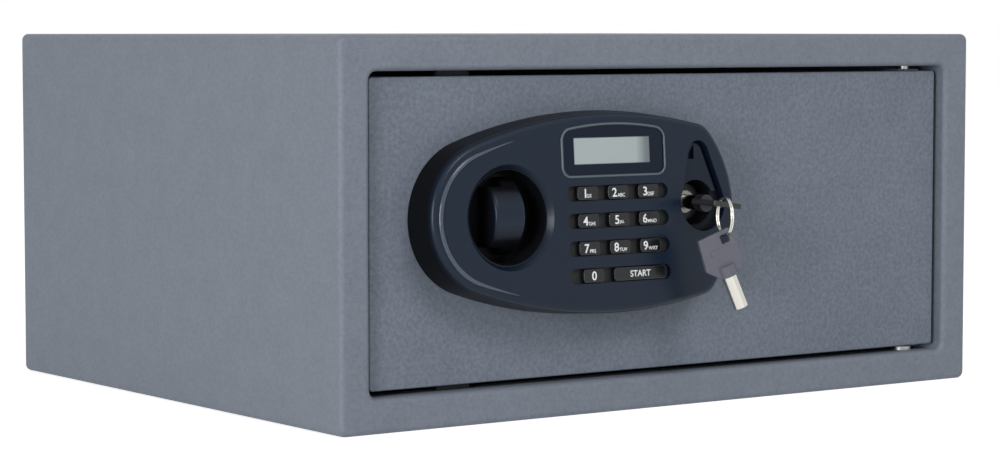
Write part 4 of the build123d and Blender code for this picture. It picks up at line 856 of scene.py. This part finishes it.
# -------------------- wire pieces
@dataclass(frozen=True)
class SplitRing:
    """A ring of flat-wound wire, two turns side by side.

    Attributes:
        plane_yaw: How far the ring's plane is turned from the YZ plane, in degrees.
        strand: Radius of the wire, and how far each turn lies from the middle.
        ramp: Share of the wire's length over which it steps across.
    """

    radius: float = 10.0
    plane_yaw: float = 17.0
    turns: float = 1.92
    strand: float = 0.5
    ramp: float = 0.125
    points: int = 240
    sides: int = 12

    def build(self, materials: Materials) -> None:
        """Make the ring: centre + radius * (cos(a) * along + sin(a) * up), plus a shift across.

        One turn lies beside the other. The wire steps over halfway, in a ramp that is a share of its
        length.

        Args:
            materials: Materials already made, by name.
        """
        lowest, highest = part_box("key_ring")
        centre = (np.array(lowest) + np.array(highest)) / 2 / MM
        aim = radians(self.plane_yaw)
        along, up = np.array([-sin(aim), -cos(aim), 0.0]), np.array([0.0, 0.0, 1.0])
        across = np.array([cos(aim), -sin(aim), 0.0])
        share = np.linspace(0, 1, self.points)[:, None]
        angle = share * self.turns * 2 * pi - pi / 2
        step = np.clip((share - 0.5) / self.ramp + 0.5, 0, 1)
        shift = (step * 2 - 1) * self.strand
        path = centre + self.radius * (np.cos(angle) * along + np.sin(angle) * up) + shift * across
        ring = tube("split_ring", path, self.strand, across, self.sides)
        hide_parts("key_ring")
        dress(ring, Coating.NICKEL.value, materials, "ring_body")


@dataclass(frozen=True)
class CoilSpring:
    """The return spring on the solenoid's plunger, with wire as the radius of its wire."""

    turns: int = 7
    wire: float = 0.28
    points_per_turn: int = 32
    sides: int = 8

    def build(self, materials: Materials) -> None:
        """Make a helix, centre + radius * (cos(a) * Y + sin(a) * Z), that climbs along X.

        Args:
            materials: Materials already made, by name.
        """
        lowest, highest = (np.array(c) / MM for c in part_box("plunger_spring"))
        centre = (lowest + highest) / 2
        radius = (highest[1] - lowest[1]) / 2 - self.wire
        angle = np.linspace(0, self.turns * 2 * pi, self.turns * self.points_per_turn)
        x = np.linspace(lowest[0] + self.wire, highest[0] - self.wire, len(angle))
        path = np.stack([x, centre[1] + radius * np.cos(angle), centre[2] + radius * np.sin(angle)], 1)
        spring = tube("return_spring", path, self.wire, np.array([1.0, 0.0, 0.0]), self.sides)
        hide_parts("plunger_spring")
        dress(spring, Coating.ZINC_STEEL.value, materials, "door")


# -------------------- felt mat
@dataclass(frozen=True)
class FeltMat:
    """The felt on the floor of the safe, a closed sheet with an uneven upper face and four round holes.

    Attributes:
        ripple: Height of the unevenness.
        ripple_length: Length of half a wave of it.
        edge: Width of the soft edge.
        edge_least: Share of the thickness that is left at the outline.
        grid_points: Corners along each side.
        hole_x: How far each hole lies from the middle across.
        hole_y: How far it lies from the middle front to back.
    """

    ripple: float = 0.35
    ripple_length: float = 26.0
    edge: float = 1.2
    edge_least: float = 0.15
    grid_points: int = 140
    hole_radius: float = 12.0
    hole_x: float = 140.0
    hole_y: float = 90.0

    def cut_holes(self, grid: np.ndarray) -> np.ndarray:
        """Leave out the cells that a hole touches and draw the corners round it onto its circle.

        A drawn corner is hole centre + (corner - centre) * radius / distance.

        Args:
            grid: Corners (x, y) in millimetres, of shape (n, n, 2); those round a hole are moved.

        Returns:
            Whether each cell is left out, of shape (n - 1, n - 1).
        """
        count = self.grid_points - 1
        left_out = np.zeros((count, count), bool)
        for hole in ((sx * self.hole_x, sy * self.hole_y) for sx in (-1, 1) for sy in (-1, 1)):
            arm = grid - hole
            away = np.hypot(arm[..., 0], arm[..., 1])
            inside = away < self.hole_radius
            cut = inside[:-1, :-1] | inside[1:, :-1] | inside[:-1, 1:] | inside[1:, 1:]
            rim = np.zeros_like(inside)
            for i, j in ((0, 0), (1, 0), (0, 1), (1, 1)):
                rim[i:count + i, j:count + j] |= cut
            rim &= ~inside
            grid[rim] = hole + arm[rim] * (self.hole_radius / away[rim])[:, None]
            left_out |= cut
        return left_out

    def closed_faces(self, kept: np.ndarray) -> np.ndarray:
        """Return the faces of a sheet: the kept cells above, the same below, and the walls between.

        A wall stands on every edge that belongs to one kept cell only, which is an edge whose reverse no
        other cell has.

        Args:
            kept: Whether each cell is kept.

        Returns:
            Corner numbers of each face, with the lower corners numbered after all the upper ones.
        """
        i, j = np.nonzero(kept)
        first = i * self.grid_points + j
        quads = np.stack([first, first + self.grid_points, first + self.grid_points + 1, first + 1], 1)
        below = self.grid_points ** 2
        start, end = quads.ravel(), np.roll(quads, -1, 1).ravel()
        outer = ~np.isin(start * below + end, end * below + start)
        start, end = start[outer], end[outer]
        walls = np.stack([end, start, start + below, end + below], 1)
        return np.concatenate([quads, quads[:, ::-1] + below, walls])

    def build(self, materials: Materials) -> None:
        """Make the mat.

        The upper face stands at thickness - ripple * (1 + sin(pi * x / length) * sin(pi * y / length)) / 2
        and falls to the floor over a soft edge; the lower face is flat.

        Args:
            materials: Materials already made, by name.
        """
        lowest, highest = (np.array(c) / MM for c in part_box("floor_mat"))
        size = highest - lowest
        x = np.linspace(lowest[0], highest[0], self.grid_points)
        y = np.linspace(lowest[1], highest[1], self.grid_points)
        grid = np.stack(np.meshgrid(x, y, indexing="ij"), -1)
        left_out = self.cut_holes(grid)
        waves = np.prod(np.sin(grid / self.ripple_length * pi), -1)
        inset = np.minimum(grid - lowest[:2], highest[:2] - grid).min(-1)
        fall = np.clip(inset / self.edge, self.edge_least, 1.0)
        top = lowest[2] + (size[2] - self.ripple * (1 + waves) / 2) * fall
        points = np.concatenate([
            np.concatenate([grid, height[..., None]], -1).reshape(-1, 3)
            for height in (top, np.full_like(top, lowest[2]))])
        used, faces = np.unique(self.closed_faces(~left_out), return_inverse=True)
        mat = mesh_piece("felt_mat", points[used], faces.reshape(-1, 4).tolist())
        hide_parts("floor_mat")
        dress(mat, Coating.CARPET.value, materials, "safe_body")


# -------------------- studio
@dataclass(frozen=True)
class Lamp:
    """A rectangular lamp that faces a point above the origin, with sizes in metres and power in watts."""

    name: str
    place: tuple[float, float, float]
    size: tuple[float, float]
    power: float
    aim_height: float = 0.1

    def hang(self) -> None:
        """Hang the lamp, pitched atan2(level distance, height above the aim) and yawed atan2(y, x) + 90."""
        light = bpy.data.lights.new(self.name, "AREA")
        light.shape = "RECTANGLE"
        light.size, light.size_y = self.size
        light.energy = self.power
        hung = bpy.data.objects.new(self.name, light)
        bpy.context.scene.collection.objects.link(hung)
        hung.location = self.place
        x, y, z = self.place
        hung.rotation_euler = (atan2(hypot(x, y), z - self.aim_height), 0, atan2(y, x) + pi / 2)


@dataclass(frozen=True)
class Studio:
    """Pale floor, soft lamps and the camera, whose place is in metres and whose angles are in degrees.

    Attributes:
        camera_yaw: How far the camera is turned from +Y, clockwise from above.
        camera_pitch: How far it looks down.
        focal_px: Focal length, in pixels of a render image_width wide.
        ambient: Strength of the world's light on the object.
        floor_glow: Strength of the floor's own light where it is looked at.
    """

    camera_place: tuple[float, float, float] = (-0.970432, -1.370179, 0.202968)
    camera_yaw: float = 35.50066
    camera_pitch: float = 4.03545
    focal_px: float = 2865.13
    image_width: float = 1000.0
    sensor: float = 36.0
    ambient: float = 0.30
    floor_glow: float = 0.7
    floor_half: float = 6000.0
    floor_albedo: float = 0.86
    floor_roughness: float = 0.9
    lamps: tuple[Lamp, ...] = (Lamp("key_lamp", (0.2, -2.3, 2.0), (1.0, 1.0), 22.0),
                               Lamp("strip_lamp", (-1.9, -1.05, 0.3), (0.5, 1.2), 24.0),
                               Lamp("left_lamp", (-2.6, 1.2, 0.3), (1.0, 0.6), 1.0))

    def looked_at(self, tree: bpy.types.NodeTree) -> bpy.types.NodeSocket:
        """Tell what is seen, straight on, in a gloss or through glass, from what only gives light.

        Args:
            tree: The nodes of the world or the floor.

        Returns:
            A socket that is 1 for what is seen.
        """
        ray = add_node(tree, "ShaderNodeLightPath")
        seen = add_node(tree, "ShaderNodeMath", {
            0: ray.outputs["Is Camera Ray"], 1: ray.outputs["Is Transmission Ray"]}, operation="MAXIMUM")
        both = add_node(tree, "ShaderNodeMath", {0: seen.outputs[0], 1: ray.outputs["Is Glossy Ray"]},
                        operation="MAXIMUM")
        return both.outputs[0]

    def world(self) -> None:
        """Light from all round, and white where the camera, a gloss or glass looks past the object."""
        world = bpy.data.worlds.new("studio")
        bpy.context.scene.world = world
        world.use_nodes = True
        tree = world.node_tree
        level = add_node(tree, "ShaderNodeMapRange", {"Value": self.looked_at(tree), "To Min": self.ambient,
                                                      "To Max": 1.0})
        background = tree.nodes["Background"]
        background.inputs["Color"].default_value = WHITE
        tree.links.new(level.outputs[0], background.inputs["Strength"])

    def floor(self) -> None:
        """A pale floor that the camera sees as white except where the object's shadow falls."""
        ends = np.array([-self.floor_half, self.floor_half])
        points = np.stack([*np.meshgrid(ends, ends, indexing="ij"), np.zeros((2, 2))], -1)
        floor = surface("studio_floor", points, False, False)
        material = bpy.data.materials.new("matt_white_board")
        material.use_nodes = True
        tree = material.node_tree
        shader = tree.nodes["Principled BSDF"]
        shader.inputs["Base Color"].default_value = (*[self.floor_albedo] * 3, 1)
        shader.inputs["Roughness"].default_value = self.floor_roughness
        shader.inputs["Emission Color"].default_value = WHITE
        glow = add_node(tree, "ShaderNodeMath", {0: self.looked_at(tree), 1: self.floor_glow},
                        operation="MULTIPLY")
        tree.links.new(glow.outputs[0], shader.inputs["Emission Strength"])
        floor.data.materials.append(material)

    def camera(self) -> None:
        """Set up the camera."""
        lens = bpy.data.cameras.new("camera")
        lens.sensor_width = self.sensor
        lens.lens = self.focal_px * self.sensor / self.image_width
        eye = bpy.data.objects.new("camera", lens)
        bpy.context.scene.collection.objects.link(eye)
        eye.location = self.camera_place
        eye.rotation_euler = (radians(90 - self.camera_pitch), 0, radians(-self.camera_yaw))
        bpy.context.scene.camera = eye

    def build(self) -> None:
        """Set up everything that isn't the object."""
        bpy.context.scene.view_settings.view_transform = "Standard"
        self.camera()
        self.world()
        self.floor()
        for lamp in self.lamps:
            lamp.hang()


def dress_frame(frame: dict, materials: Materials) -> None:
    """Give every CAD node the finish of its slot.

    Args:
        materials: Materials already made, by name.
    """
    finishes = {coating.slot: coating.value for coating in Coating}
    for part in frame["record"]["subparts"]:
        finish = NODE_FINISHES.get(part["node"], finishes[part["material_slot"]])
        coat(frame["nodes"][part["node"]], finish, materials)


def main() -> None:
    """Load the frame, dress it, and add the pieces and the studio."""
    logging.basicConfig(level=logging.INFO, format="%(name)s: %(message)s")
    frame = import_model()
    materials: Materials = {}
    Studio().build()
    dress_frame(frame, materials)
    for assembly in (PanelTrim(), Keypad(), SplitRing(), CoilSpring(), FeltMat()):
        assembly.build(materials)


if __name__ == "__main__":
    main()
